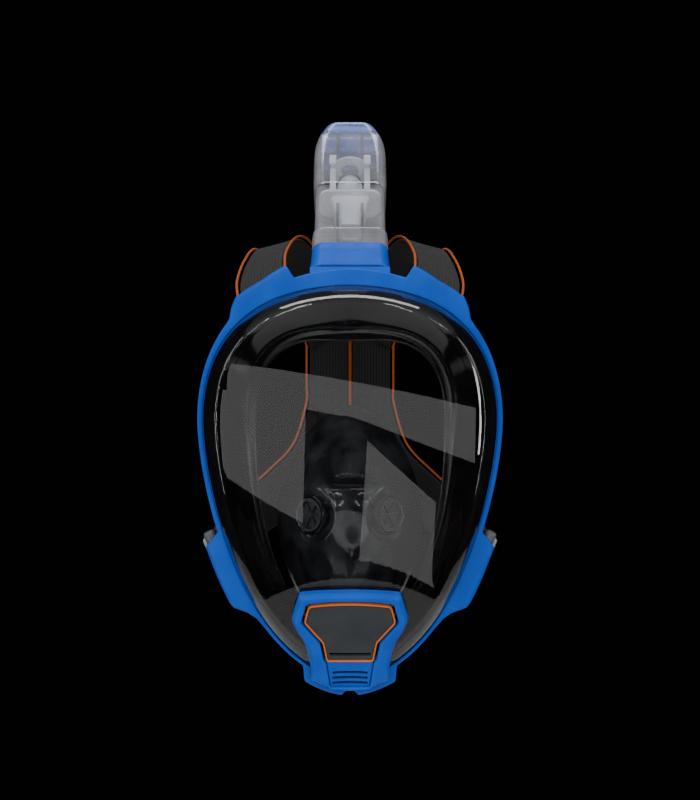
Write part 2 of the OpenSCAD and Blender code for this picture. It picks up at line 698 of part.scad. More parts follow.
// Smooth curve through hand-chosen points
function spline(p, t) =
    let (n = len(p) - 1, i = min(n - 1, floor(t * n)), u = t * n - i,
         a = p[max(0, i - 1)], b = p[i], c = p[i + 1], d = p[min(n, i + 2)])
    0.5 * (2 * b + (c - a) * u + (2 * a - 5 * b + 4 * c - d) * u * u + (3 * b - a - 3 * c + d) * u * u * u);
function unit(v) = v / norm(v);
strap_steps = 18;
function ribbon_ring(one, two, t, thick) =
    let (e = 0.01, p = spline(one, t), q = spline(two, t),
         along = spline(one, min(1, t + e)) - spline(one, max(0, t - e))
               + spline(two, min(1, t + e)) - spline(two, max(0, t - e)),
         n = unit(cross(q - p, along)) * thick / 2)
    [p + n, q + n, q - n, p - n];
module ribbon(one, two, thick) {
    rings = [for (i = [0:strap_steps]) ribbon_ring(one, two, i / strap_steps, thick)];
    first = (rings[0][0] + rings[0][2]) / 2;
    last = (rings[strap_steps][0] + rings[strap_steps][2]) / 2;
    polyhedron(
        points = concat([for (r = rings) each r], [first, last]),
        faces = capped_faces(len(rings), 4)
    );
}
module wearer_side(side) mirror([side < 0 ? 1 : 0, 0, 0]) children();
module strap_upper(side) color(black) wearer_side(side) ribbon(upper_outer, upper_inner, strap_t);
module strap_lower(side) color(black) wearer_side(side) ribbon(lower_lower, lower_upper, strap_t);
back_y = 159.6;
waist_w = 30;
seam_half = piping_r + 0.05;
module strap_back_panel() color(black) for (side = [-1, 1]) wearer_side(side)
    translate([0, back_y, 0]) rotate([90, 0, 0]) translate([0, 0, -strap_t]) linear_extrude(strap_t)
    polygon([[seam_half, 104], [waist_w, 86], [waist_w, 44], [seam_half, -12]]);

// Piping: a cord of orange bound into the strap's edges
piping_sides = 6;
module cord(path, r, steps) {
    rings = [
        for (i = [0:steps])
        let (t = i / steps, e = 0.01, p = spline(path, t),
             along = unit(spline(path, min(1, t + e)) - spline(path, max(0, t - e))),
             side = unit(cross(along, [0.3, 0.1, 1])), up = cross(side, along))
        [for (k = [0:piping_sides - 1]) let (a = 360 * k / piping_sides)
            p + r * (cos(a) * side + sin(a) * up)]
    ];
    polyhedron(
        points = concat([for (g = rings) each g], [spline(path, 0), spline(path, 1)]),
        faces = capped_faces(len(rings), piping_sides)
    );
}
edge_out = 1.6 + piping_r;
module piping_outer(side) color(orange) wearer_side(side)
    cord([for (p = upper_outer) p + [edge_out, 0, 0.6 * edge_out]], piping_r, 24);
module piping_side(side) color(orange) wearer_side(side) cord([
    [waist_w + edge_out, 157, 85.9], [waist_w + edge_out, 157, 58], [waist_w + edge_out + 0.4, 157, 44.6],
    lower_upper[1] + edge_out * [0.9, 0, 0.7], lower_upper[2] + edge_out * [0.3, 0, 1],
    lower_upper[3] + edge_out * [0, 0, 1], lower_upper[4] + edge_out * [0, 0, 1]
], piping_r, 24);
module piping_inner() color(orange) for (side = [-1, 1]) wearer_side(side)
    cord([for (i = [0:4]) upper_inner[i] + [-0.6 * edge_out, 0, edge_out]], piping_r, 20);
seam_proud = 0.6;
module strap_seam() color(orange) translate([-piping_r, back_y - seam_proud, -10])
    cube([2 * piping_r, strap_t + 2 * seam_proud, 112]);

frame_rim();
clamp_ring();
visor();
visor_latch();
skirt();
nose_pocket();
inhale_valve_seat(1);  // inhale_valve_seat_left
inhale_valve_seat(-1);  // inhale_valve_seat_right
inhale_valve_flap(1);  // inhale_valve_flap_left
inhale_valve_flap(-1);  // inhale_valve_flap_right
chin_bezel();
chin_cover();
cover_pins();
chin_cover_trim();
louvre_insert();
drain_valve_seat();
drain_valve_flap();
snorkel_base();
socket_gasket();
latch_button();
snorkel_band();
snorkel_collar();
snorkel_tube();
snorkel_head();
snorkel_cap();
float_cage();
float();
float_seal();
clip_body(1);  // clip_body_left
clip_body(-1);  // clip_body_right
clip_button(1);  // clip_button_left
clip_button(-1);  // clip_button_right
clip_spring(1);  // clip_spring_left
clip_spring(-1);  // clip_spring_right
clip_bar(1);  // clip_bar_left
clip_bar(-1);  // clip_bar_right
brow_bar(1);  // brow_bar_left
brow_bar(-1);  // brow_bar_right
strap_upper(1);  // strap_upper_left
strap_upper(-1);  // strap_upper_right
strap_back_panel();
strap_lower(1);  // strap_lower_left
strap_lower(-1);  // strap_lower_right
piping_outer(1);  // piping_outer_left
piping_outer(-1);  // piping_outer_right
piping_side(1);  // piping_side_left
piping_side(-1);  // piping_side_right
piping_inner();
strap_seam();
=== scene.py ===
"""Looks of a full-face snorkel mask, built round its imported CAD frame.

Surfaces are worked out in millimetres with numpy, one function per piece, and stored in
metres in the frame's own axes: +X the wearer's left, -Y the way the wearer looks, +Z up.
"""

import json
import math

import bmesh
import bpy
import numpy as np
from mathutils import Euler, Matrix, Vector


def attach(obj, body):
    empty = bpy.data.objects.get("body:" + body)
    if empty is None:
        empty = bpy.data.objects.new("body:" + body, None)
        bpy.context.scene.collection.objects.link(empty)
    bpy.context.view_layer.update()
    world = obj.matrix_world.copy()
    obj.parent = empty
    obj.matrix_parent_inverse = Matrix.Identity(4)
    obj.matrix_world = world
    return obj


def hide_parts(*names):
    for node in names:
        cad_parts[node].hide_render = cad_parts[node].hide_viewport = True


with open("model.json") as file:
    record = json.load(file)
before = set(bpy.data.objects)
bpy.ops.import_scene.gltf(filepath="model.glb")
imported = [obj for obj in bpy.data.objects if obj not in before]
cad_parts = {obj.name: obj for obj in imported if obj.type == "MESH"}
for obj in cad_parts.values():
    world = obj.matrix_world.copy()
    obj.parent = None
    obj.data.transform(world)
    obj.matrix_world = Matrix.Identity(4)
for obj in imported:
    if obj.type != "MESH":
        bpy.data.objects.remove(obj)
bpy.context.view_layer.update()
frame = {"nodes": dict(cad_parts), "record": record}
NODES = frame["nodes"]
MM = 0.001
SIDES = ((1, "left"), (-1, "right"))

# ---------- Sizes of the design, in millimetres and degrees ----------
WIDEST_Z = 36.0
HALF_W, RISE_UP, DROP_DOWN = 89.3, 78.5, 153.5
SIDE_BAND, BROW_BAND, CHIN_BAND = 3.2, 10.0, 1.6
RIM_FORWARD, SIDE_WRAP = 60.0, 22.0
RIM_DEPTH, RIM_WALL, RIM_LIP, PAD_T = 16.0, 1.6, 3.0, 6.0
PAD_RISE, EAR_RISE, FLANGE_RISE = 8.8, 11.3, 8.3
SEAT_GAP = 0.1
VISOR_HEIGHT, WALL_W, VISOR_T, VISOR_INSET = 28.0, 12.0, 2.4, 0.3
SIDE_BOW, BROW_BOW, CHIN_BOW = 16.0, 6.0, 4.0
CHIN_TILT, CHIN_Y, CHIN_Z = 20.0, -61.4, -122.0
BEZEL_T = 7.0
COVER_TOP, COVER_FOOT, COVER_BACK, COVER_FRONT = 58.5, 20.8, 3.5, 6.0
TRIM_W = 1.0
DRAIN_V, DRAIN_R = 43.0, 14.0
LEAN, BASE_FRONT, BASE_Z = 35.0, -42.03, 127.3
TUBE_HW, TUBE_HD, TUBE_CORNER, TUBE_WALL = 22.0, 14.5, 6.0, 2.0
BAND_FROM, BAND_TO, COLLAR_TO, TUBE_FROM, TUBE_TO = 1.2, 20.2, 33.2, 13.6, 70.2
CHANNEL_X, POST_X = 7.7, 11
BAND_HD = 16.68
HEAD_TO, CAP_TO, HEAD_HW, HEAD_HD = 114.2, 123.2, 23.2, 18.0
FLOAT_R, FLOAT_FROM, FLOAT_H = 8.0, 73.2, 13.0
EAR_A, EAR_TURN = 139.0, 24.0
STRAP_T, PIPING_R, BACK_Y = 3.0, 0.8, 159.6


# ---------- Mesh tools ----------
def sind(a):
    return np.sin(np.radians(a))


def cosd(a):
    return np.cos(np.radians(a))


def points(x, y, z):
    """Three arrays of any matching shapes joined into one array of points."""
    return np.stack(np.broadcast_arrays(x, y, z), -1).astype(float)


def turn_x(a):
    return np.array([[1, 0, 0], [0, cosd(a), -sind(a)], [0, sind(a), cosd(a)]])


def turn_y(a):
    return np.array([[cosd(a), 0, sind(a)], [0, 1, 0], [-sind(a), 0, cosd(a)]])


def turn_z(a):
    return np.array([[cosd(a), -sind(a), 0], [sind(a), cosd(a), 0], [0, 0, 1]])


def placed(p, origin, turn):
    """Points turned, then moved to an origin."""
    return np.asarray(p) @ turn.T + np.asarray(origin, float)


def smooth_step(v, low, high):
    """0 below low and 1 above high, with a cubic in between."""
    t = np.clip((v - low) / (high - low), 0, 1)
    return t * t * (3 - 2 * t)


def quarter_round(share):
    """Rises from 0 to 1 along a quarter circle as the share goes from 0 to 1."""
    return np.sqrt(1 - (1 - share) ** 2)


def distance_along(p):
    """Running length of a row of points, from 0."""
    return np.concatenate([[0], np.cumsum(np.linalg.norm(np.diff(p, axis=0), axis=1))])


def plate_shares(cols, rows):
    """Shares across a plate from -1 to 1 and up it from 0 to 1, closer together at its borders."""
    u = np.sin(np.linspace(-90, 90, cols) * math.pi / 180)[None, :]
    return u, ((1 - np.cos(np.linspace(0, 180, rows) * math.pi / 180)) / 2)[:, None]


def grid_quads(rows, cols, loop, ring):
    """Quads between neighbouring rows and columns; loop closes the rows and ring the columns."""
    r = np.arange(rows if loop else rows - 1)[:, None]
    c = np.arange(cols if ring else cols - 1)[None, :]
    r2, c2 = (r + 1) % rows, (c + 1) % cols
    return np.stack([r * cols + c, r * cols + c2, r2 * cols + c2, r2 * cols + c], -1).reshape(-1, 4)


def swept(p):
    """A closed ring of sections: rows and columns both close."""
    rows, cols = p.shape[:2]
    return p.reshape(-1, 3), grid_quads(rows, cols, True, True), np.empty((0, 3), int)


def capped(p):
    """Closed rings in open rows, with a fan of triangles from each end's middle."""
    rows, cols = p.shape[:2]
    ends = np.stack([p[0].mean(0), p[-1].mean(0)])
    c = np.arange(cols)
    first = np.stack([(c + 1) % cols, c, np.full(cols, rows * cols)], -1)
    last = (rows - 1) * cols + np.stack([c, (c + 1) % cols, np.full(cols, cols + 1)], -1)
    return (
        np.concatenate([p.reshape(-1, 3), ends]),
        grid_quads(rows, cols, False, True),
        np.concatenate([first, last]),
    )


def slab(front, back):
    """A front and a back grid of the same shape, with a wall between their borders."""
    rows, cols = front.shape[:2]
    n = rows * cols
    face = grid_quads(rows, cols, False, False)
    k = np.arange(n).reshape(rows, cols)
    border = np.concatenate([k[0, :-1], k[:-1, -1], k[-1, :0:-1], k[:0:-1, 0]])
    after = np.roll(border, -1)
    wall = np.stack([border, border + n, after + n, after], -1)
    quads = np.concatenate([face, face[:, ::-1] + n, wall])
    return np.concatenate([front.reshape(-1, 3), back.reshape(-1, 3)]), quads, np.empty((0, 3), int)


def mesh_of(name, parts):
    """One mesh from several closed surfaces, in metres, with every face turned outwards."""
    verts, faces, base = [], [], 0
    for p, quads, tris in parts:
        verts.append(p)
        faces += (quads + base).tolist() + (tris + base).tolist()
        base += len(p)
    mesh = bpy.data.meshes.new(name)
    mesh.from_pydata((np.concatenate(verts) * MM).tolist(), [], faces)
    work = bmesh.new()
    work.from_mesh(mesh)
    bmesh.ops.recalc_face_normals(work, faces=work.faces)
    work.to_mesh(mesh)
    work.free()
    return mesh


def shade(mesh, sharp):
    """Smooth shading that breaks at edges sharper than an angle."""
    mesh.polygons.foreach_set("use_smooth", np.ones(len(mesh.polygons), bool))
    mesh.set_sharp_from_angle(angle=math.radians(sharp))


def linked(name, parts):
    obj = bpy.data.objects.new(name, mesh_of(name, parts))
    bpy.context.scene.collection.objects.link(obj)
    return obj


def piece(name, parts, slot, replaced, body="root", sharp=32, weave=None, material=None):
    """A finished piece: mesh, finish, the body it rides on and the CAD nodes it stands for. Its
    slot's own finish is used unless another is given."""
    obj = linked(name, parts)
    if weave is not None:
        lines = obj.data.attributes.new("weave", "FLOAT_VECTOR", "POINT")
        lines.data.foreach_set("vector", np.concatenate(weave).astype(np.float32).ravel())
    obj.data.materials.append(material or FINISH[slot])
    shade(obj.data, sharp)
    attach(obj, body)
    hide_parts(*replaced)
    return obj


def cut(obj, tools, sharp=32):
    """Takes the closed surfaces in tools out of a piece."""
    for n, parts in enumerate(tools):
        tool = linked(f"tool_{n}", parts)
        boolean = obj.modifiers.new("cut", "BOOLEAN")
        boolean.object, boolean.operation, boolean.solver = tool, "DIFFERENCE", "EXACT"
        graph = bpy.context.evaluated_depsgraph_get()
        mesh = bpy.data.meshes.new_from_object(obj.evaluated_get(graph))
        obj.modifiers.clear()
        obj.data = mesh
        bpy.data.objects.remove(tool)
    shade(obj.data, sharp)
    return obj


def rod(path, radius, sides=12):
    """A round bar along a path: a circle square to the path at each of its points."""
    path = np.asarray(path, float)
    along = np.gradient(path, axis=0)
    along /= np.linalg.norm(along, axis=1, keepdims=True)
    side = np.cross(along, [0.31, 0.12, 0.94])
    side /= np.linalg.norm(side, axis=1, keepdims=True)
    up = np.cross(side, along)
    a = np.linspace(0, 360, sides, endpoint=False)[None, :, None]
    r = np.broadcast_to(radius, len(path))[:, None, None]
    return capped(path[:, None] + r * (cosd(a) * side[:, None] + sind(a) * up[:, None]))


def turned(profile, origin, turn, steps=64):
    """A profile of [radius, height] spun about its own upright axis, then placed."""
    profile = np.asarray(profile, float)
    a = np.linspace(0, 360, steps, endpoint=False)[None, :]
    r, h = profile[:, 0:1], profile[:, 1:2]
    return capped(placed(points(r * cosd(a), r * sind(a), h + 0 * a), origin, turn))


def box_of(low, high, place=np.asarray, edge=0.0, steps=4):
    """A block with rounded upright edges, as rings from its foot to its top."""
    low, high = np.asarray(low, float), np.asarray(high, float)
    mid, half = (low + high) / 2, (high - low) / 2
    edge = min(edge, *(half * 0.98))
    arc = np.linspace(0, 90, steps + 1)
    inset = np.concatenate([edge * (1 - sind(arc)), edge * (1 - cosd(arc))])
    level = np.concatenate([-half[2] + edge * (1 - cosd(arc)), half[2] - edge * (1 - sind(arc))])
    ring = rounded_ring(half[0] - inset, half[1] - inset, np.maximum(edge - inset, 0.02), steps)
    p = points(ring[..., 0] + mid[0], ring[..., 1] + mid[1], level[:, None] + mid[2])
    return capped(place(p))


def rounded_ring(half_x, half_y, corner, steps=8):
    """Rounded rectangles: at each corner a quarter circle about its own centre, one row each."""
    half_x, half_y, corner = (np.atleast_1d(v).astype(float)[:, None] for v in (half_x, half_y, corner))
    a = np.concatenate([np.linspace(90 * k, 90 * k + 90, steps + 1) for k in range(4)])[None, :]
    sx = np.repeat([1, -1, -1, 1], steps + 1)[None, :]
    sy = np.repeat([1, 1, -1, -1], steps + 1)[None, :]
    x = sx * (half_x - corner) + corner * cosd(a)
    y = sy * (half_y - corner) + corner * sind(a)
    return np.stack(np.broadcast_arrays(x, y), -1)


def spline(knots, t):
    """Catmull-Rom curve through the knots, for t from 0 to 1."""
    k = np.asarray(knots, float)
    n = len(k) - 1
    i = np.clip((t * n).astype(int), 0, n - 1)
    u = (t * n - i)[:, None]
    a, b, c, d = k[np.maximum(i - 1, 0)], k[i], k[i + 1], k[np.minimum(i + 2, n)]
    return 0.5 * (2 * b + (c - a) * u + (2 * a - 5 * b + 4 * c - d) * u**2 + (3 * b - a - 3 * c + d) * u**3)


def rounded_section(p, passes=2, keep=0.25):
    """Corner cutting: each edge of closed sections keeps its middle part, again and again."""
    for _ in range(passes):
        after = np.roll(p, -1, axis=1)
        p = np.stack([p + keep * (after - p), after + keep * (p - after)], 2)
        p = p.reshape(p.shape[0], -1, p.shape[-1])
    return p


# ---------- Finishes ----------
class Finish:
    """A material being mixed: a Principled shader and the texture nodes that drive it."""

    def __init__(self, name):
        self.material = bpy.data.materials.new(name)
        self.material.use_nodes = True
        self.tree = self.material.node_tree
        self.shader = self.tree.nodes["Principled BSDF"]
        self.output = self.tree.nodes["Material Output"]
        self.here = self.node("ShaderNodeTexCoord").outputs["Object"]
        self.normal = None

    def node(self, kind, **settings):
        made = self.tree.nodes.new(kind)
        for key, value in settings.items():
            setattr(made, key, value)
        return made

    def join(self, socket, value):
        if isinstance(value, bpy.types.NodeSocket):
            self.tree.links.new(value, socket)
        else:
            socket.default_value = value

    def set(self, **values):
        """Sets the shader's sockets by name, with underscores for spaces."""
        for key, value in values.items():
            self.join(self.shader.inputs[key.replace("_", " ")], value)
        return self

    def stretched(self, scale):
        """Object coordinates stretched along each axis."""
        mapping = self.node("ShaderNodeMapping")
        self.join(mapping.inputs["Vector"], self.here)
        mapping.inputs["Scale"].default_value = scale
        return mapping.outputs["Vector"]

    def noise(self, scale, detail=3.0, where=None):
        made = self.node("ShaderNodeTexNoise")
        self.join(made.inputs["Vector"], where or self.here)
        made.inputs["Scale"].default_value = scale
        made.inputs["Detail"].default_value = detail
        return made.outputs["Fac"]

    def bands(self, where, scale, axis="X", bend=0.0):
        made = self.node("ShaderNodeTexWave", bands_direction=axis)
        self.join(made.inputs["Vector"], where)
        made.inputs["Scale"].default_value = scale
        made.inputs["Distortion"].default_value = bend
        return made.outputs["Fac"]

    def level(self, value, low, high, start=0.0, end=1.0):
        """Carries a value from one range to another."""
        made = self.node("ShaderNodeMapRange")
        self.join(made.inputs["Value"], value)
        for key, number in (("From Min", start), ("From Max", end), ("To Min", low), ("To Max", high)):
            made.inputs[key].default_value = number
        return made.outputs["Result"]

    def maths(self, operation, a, b):
        made = self.node("ShaderNodeMath", operation=operation)
        self.join(made.inputs[0], a)
        self.join(made.inputs[1], b)
        return made.outputs[0]

    def blend(self, share, one, two):
        """A colour between two colours."""
        made = self.node("ShaderNodeMix", data_type="RGBA")
        self.join(made.inputs["Factor"], share)
        self.join(made.inputs["A"], one)
        self.join(made.inputs["B"], two)
        return made.outputs["Result"]

    def relief(self, height, strength, depth):
        """Adds a bump of some depth in metres on top of the bumps already there."""
        made = self.node("ShaderNodeBump")
        made.inputs["Strength"].default_value = strength
        made.inputs["Distance"].default_value = depth
        self.join(made.inputs["Height"], height)
        if self.normal is not None:
            self.join(made.inputs["Normal"], self.normal)
        self.normal = made.outputs["Normal"]
        self.join(self.shader.inputs["Normal"], self.normal)
        return self


def rgb(r, g, b):
    return (r, g, b, 1.0)


def moulded(name, dark, light, rough, grain=0.25, spread=0.07, speckle=0.0, **settings):
    """Moulded plastic: a slow drift of shade, fine grain, roughness that drifts, paler convex edges and a hint of
    flow marks, with dots of the light shade where a speckle is asked for."""
    f = Finish(name)
    drift = f.noise(55, 4)
    shade_of = f.blend(f.level(drift, 0, 1, 0.35, 0.65), dark, light)
    fine = f.noise(3200, 2)
    if speckle:
        shade_of = f.blend(f.level(fine, 0, speckle, 0.56, 0.72), shade_of, light)
    # Convex edges, as pointiness finds them, are blended towards a paler shade of the plastic.
    edge_paling = f.level(f.node("ShaderNodeNewGeometry").outputs["Pointiness"], 0, 0.22, 0.505, 0.56)
    pale = tuple(min(1.0, v * 1.6 + 0.03) for v in light[:3]) + (1.0,)
    f.set(Base_Color=f.blend(edge_paling, shade_of, pale))
    f.set(Roughness=f.level(f.noise(240, 5), rough - spread, rough + spread, 0.3, 0.7))
    f.set(**settings)
    f.relief(fine, grain, 0.00006)
    f.relief(f.noise(140, 2), 0.12, 0.0002)
    return f.material


def orange_piping():
    """Orange bound edge: a twisted braid that follows the cord, with painted shade in the grooves of its twist."""
    f = Finish("orange_woven_piping")
    lines = f.node("ShaderNodeAttribute", attribute_name="weave").outputs["Vector"]
    twist = f.bands(lines, 0.35, "DIAGONAL")
    # The braid's colour darkens with the twist's relief, down in its grooves: painted shade.
    f.set(Base_Color=f.blend(twist, rgb(0.3, 0.05, 0.005), rgb(0.5, 0.11, 0.01)))
    f.set(Roughness=f.level(f.noise(900), 0.6, 0.85), Specular_IOR_Level=0.3)
    f.relief(twist, 0.5, 0.0002)
    f.relief(f.noise(5200, 2), 0.3, 0.00006)
    return f.material


def silicone(name, dark, light, low, high):
    """Gloss silicone: soft ripples, faint dust and a sheen that drifts."""
    f = Finish(name)
    f.set(Base_Color=f.blend(f.level(f.noise(60, 5), 0, 1, 0.4, 0.66), dark, light))
    f.set(Roughness=f.level(f.noise(110, 4), low, high, 0.3, 0.7))
    f.set(Specular_IOR_Level=0.55, Coat_Weight=0.25, Coat_Roughness=0.12)
    f.relief(f.noise(160, 2), 0.06, 0.0004)
    f.relief(f.noise(2600, 2), 0.04, 0.00005)
    return f.material


def steel():
    """Brushed stainless wire, with the brushing along the bars."""
    f = Finish("brushed_stainless_wire")
    lines = f.noise(900, 3, f.stretched((0.08, 1.0, 1.0)))
    f.set(Base_Color=f.blend(lines, rgb(0.42, 0.42, 0.43), rgb(0.66, 0.66, 0.67)), Metallic=1.0)
    f.set(Roughness=f.level(lines, 0.2, 0.42))
    f.relief(lines, 0.15, 0.00005)
    return f.material


def textile():
    """Ribbed elastic: long ribs, a knit across them and loose fibres, in the strap's own lines, with painted shade
    in the hollows between them.
    """
    f = Finish("ribbed_elastic_textile")
    lines = f.node("ShaderNodeAttribute", attribute_name="weave").outputs["Vector"]
    ribs = f.bands(lines, 0.143)
    knit = f.bands(lines, 0.42, "Y", 0.6)
    fibre = f.noise(3400, 4)
    height = f.maths("ADD", f.maths("MULTIPLY", ribs, 1.0), f.maths("MULTIPLY", knit, 0.45))
    # The colour follows the relief's height, darkest down between ribs and knit: painted shade.
    shade_of = f.blend(f.level(height, 0, 1, 0.1, 1.35), rgb(0.006, 0.006, 0.0065),
                       rgb(0.022, 0.022, 0.0235))
    f.set(Base_Color=f.blend(f.level(fibre, 0, 0.3, 0.5, 0.8), shade_of, rgb(0.026, 0.026, 0.028)))
    f.set(Roughness=f.level(fibre, 0.75, 0.95), Sheen_Weight=0.04, Sheen_Roughness=0.5)
    f.set(Specular_IOR_Level=0.25)
    f.relief(height, 0.55, 0.0004)
    f.relief(fibre, 0.12, 0.0001)
    return f.material


def see_through(name, tint, dark, light, face_share, edge_share, rough, grain, most, haze=0.0):
    """Clear plastic as a thin wall: what is behind shows, dimmed a little, under a gloss
    that grows towards the wall's edges up to a limit, with some milkiness of the plastic
    itself. Haze is the extra milkiness where the piece's lines call for it."""
    f = Finish(name)
    clouds = f.noise(70, 4)
    f.set(Base_Color=f.blend(f.level(clouds, 0, 1, 0.35, 0.65), dark, light))
    f.set(Roughness=f.level(f.noise(300, 4), rough * 0.7, rough * 1.4, 0.3, 0.7), IOR=1.5)
    f.relief(f.noise(350, 3), grain, 0.0002)
    clear = f.node("ShaderNodeBsdfTransparent")
    clear.inputs["Color"].default_value = tint
    facing = f.node("ShaderNodeLayerWeight")
    facing.inputs["Blend"].default_value = 0.5
    share = f.level(facing.outputs["Facing"], face_share, edge_share, 0.05, 1.0)
    if haze:
        lines = f.node("ShaderNodeAttribute", attribute_name="weave").outputs["Fac"]
        share = f.maths("ADD", share, f.maths("MULTIPLY", lines, haze))
    mix = f.node("ShaderNodeMixShader")
    f.join(mix.inputs[0], share)
    f.join(mix.inputs[1], clear.outputs[0])
    f.join(mix.inputs[2], f.shader.outputs[0])
    gloss = f.node("ShaderNodeBsdfGlossy")
    gloss.inputs["Roughness"].default_value = rough * 0.6
    f.join(gloss.inputs["Normal"], f.normal)
    fresnel = f.node("ShaderNodeFresnel")
    fresnel.inputs["IOR"].default_value = 1.48
    inside = f.node("ShaderNodeNewGeometry").outputs["Backfacing"]
    shine = f.maths("MINIMUM", fresnel.outputs[0], most)
    top = f.node("ShaderNodeMixShader")
    f.join(top.inputs[0], f.maths("MULTIPLY", shine, f.level(inside, 1.0, 0.35)))
    f.join(top.inputs[1], mix.outputs[0])
    f.join(top.inputs[2], gloss.outputs[0])
    f.join(f.output.inputs["Surface"], top.outputs[0])
    return f.material


FINISH = {
    "blue_shell": moulded("satin_blue_plastic", rgb(0.004, 0.066, 0.42), rgb(0.006, 0.082, 0.48),
                          0.44, Specular_IOR_Level=0.14),
    "inner_ring": moulded("black_moulded_plastic", rgb(0.008, 0.008, 0.009),
                          rgb(0.016, 0.016, 0.018), 0.3),
    "visor_clear": see_through("clear_polycarbonate", rgb(0.93, 0.935, 0.94),
                               rgb(0.006, 0.006, 0.007), rgb(0.01, 0.01, 0.011),
                               0.03, 0.8, 0.016, 0.002, 0.26),
    "pale_latch": moulded("pale_gloss_plastic", rgb(0.5, 0.53, 0.57), rgb(0.62, 0.65, 0.69),
                          0.18, 0.12, 0.05),
    "skirt_silicone": silicone("gloss_black_silicone", rgb(0.006, 0.006, 0.007),
                               rgb(0.014, 0.014, 0.016), 0.07, 0.15),
    "gasket_rubber": silicone("matt_gasket_rubber", rgb(0.012, 0.012, 0.012),
                              rgb(0.022, 0.022, 0.022), 0.5, 0.7),
    "valve_plastic": moulded("dark_valve_plastic", rgb(0.018, 0.018, 0.02),
                             rgb(0.03, 0.03, 0.034), 0.35),
    "valve_silicone": silicone("smoky_valve_silicone", rgb(0.02, 0.02, 0.022),
                               rgb(0.04, 0.04, 0.043), 0.3, 0.5),
    "cover_grey": moulded("dark_speckled_plastic", rgb(0.017, 0.02, 0.023),
                          rgb(0.027, 0.031, 0.034), 0.45, 0.5, 0.06, 0.5),
    "orange_trim": moulded("orange_trim_plastic", rgb(0.5, 0.085, 0.006), rgb(0.6, 0.125, 0.01),
                           0.45, 0.3),
    "snorkel_clear": see_through("clear_moulded_plastic", rgb(0.93, 0.935, 0.95),
                                 rgb(0.5, 0.51, 0.54), rgb(0.7, 0.71, 0.74),
                                 0.02, 0.5, 0.05, 0.04, 0.5, 0.24),
    "cap_tint": see_through("blue_tinted_plastic", rgb(0.56, 0.64, 0.94), rgb(0.16, 0.23, 0.6),
                            rgb(0.26, 0.35, 0.74), 0.26, 0.85, 0.08, 0.06, 0.5, 0.16),
    "float_plastic": moulded("pale_float_plastic", rgb(0.5, 0.54, 0.64), rgb(0.62, 0.66, 0.76),
                             0.25, 0.15),
    "clip_black": moulded("gloss_clip_plastic", rgb(0.05, 0.055, 0.065), rgb(0.09, 0.097, 0.11),
                          0.16, 0.12, 0.05),
    "button_gloss": moulded("gloss_grey_plastic", rgb(0.2, 0.22, 0.27), rgb(0.28, 0.31, 0.37),
                            0.14, 0.12, 0.05, Coat_Weight=0.4, Coat_Roughness=0.08),
    "steel_wire": steel(),
    "strap_textile": textile(),
}
PIPING = orange_piping()
SMOKY = moulded("smoky_rib_plastic", rgb(0.03, 0.033, 0.04), rgb(0.06, 0.064, 0.075), 0.25, 0.15)
# The pocket's black silicone with a paler base than the skirt's: painted gleam in place of the reflections its hood
# shows.
PAINTED_GLEAM_SILICONE = silicone("pocket_silicone_painted_gleam", rgb(0.012, 0.012, 0.014), rgb(0.038, 0.039, 0.042),
                  0.08, 0.18)
MILKY = moulded("milky_inner_plastic", rgb(0.66, 0.69, 0.76), rgb(0.8, 0.83, 0.88), 0.14, 0.15)


# ---------- Rim, clamp ring, visor and skirt ----------
def egg(a, wide, up, down, power=1.86):
    """Distance from the centre of an egg outline at an angle from straight up: a superellipse
    whose height slides from up to down as the angle goes round."""
    low = (1 - cosd(a)) / 2
    tall = up + (down - up) * low
    return (np.abs(sind(a) / wide) ** power + np.abs(cosd(a) / tall) ** power) ** (-1 / power)


def inner_r(a):
    return egg(a, HALF_W, RISE_UP, DROP_DOWN)


def outer_r(a):
    return egg(a, HALF_W + SIDE_BAND, RISE_UP + BROW_BAND, DROP_DOWN + CHIN_BAND)


def rim_y(a):
    """The rim's front curls back at the sides with the square of the sine."""
    return -RIM_FORWARD + SIDE_WRAP * sind(a) ** 2


def at_polar(a, r, y):
    return points(r * sind(a), y, WIDEST_Z + r * cosd(a))


RISE_AT = [0, 21.8, 22.6, 33, 43.5, 47.3, 50.5, 53, 131, 131.4, 147, 148.4, 152.2, 155, 158,
           169.4, 170, 178.6, 178.8, 180]
RISE_BY = [0, 0, PAD_RISE, 0.72 * PAD_RISE, 0.8 * PAD_RISE, 0.45 * PAD_RISE, 0.4, 0, 0,
           0.93 * EAR_RISE, EAR_RISE, 0.94 * EAR_RISE, 0.35 * EAR_RISE, 0.8, 0, 0,
           FLANGE_RISE, FLANGE_RISE, 0.65 * FLANGE_RISE, 0.65 * FLANGE_RISE]
SOFTEN = 0.35


def feature_rise(a):
    """How far pads, ears and chin flange stand out, averaged over a small turn to round corners."""
    total = 0
    for step in (-1, -0.5, 0, 0.5, 1):
        half = np.abs((a + step * SOFTEN + 180) % 360 - 180)
        total = total + np.interp(half, RISE_AT, RISE_BY)
    return total / 5


def rim_angles():
    """Even half degrees, with extra ones round each corner of the features."""
    near = np.array([-0.5, -0.3, -0.15, 0, 0.15, 0.3, 0.5])
    corners = (np.array(RISE_AT)[:, None] + near).ravel()
    every = np.concatenate([np.arange(0, 360, 0.5), corners % 360, -corners % 360])
    return np.unique(np.round(every, 3))


def quarter(cx, cy, r_x, r_y, from_a, to_a, steps=4):
    """Points of a quarter ellipse round a centre, as columns of distance and depth."""
    a = np.linspace(from_a, to_a, steps)[None, :]
    return cx[:, None] + r_x[:, None] * cosd(a), cy[:, None] + r_y[:, None] * sind(a)


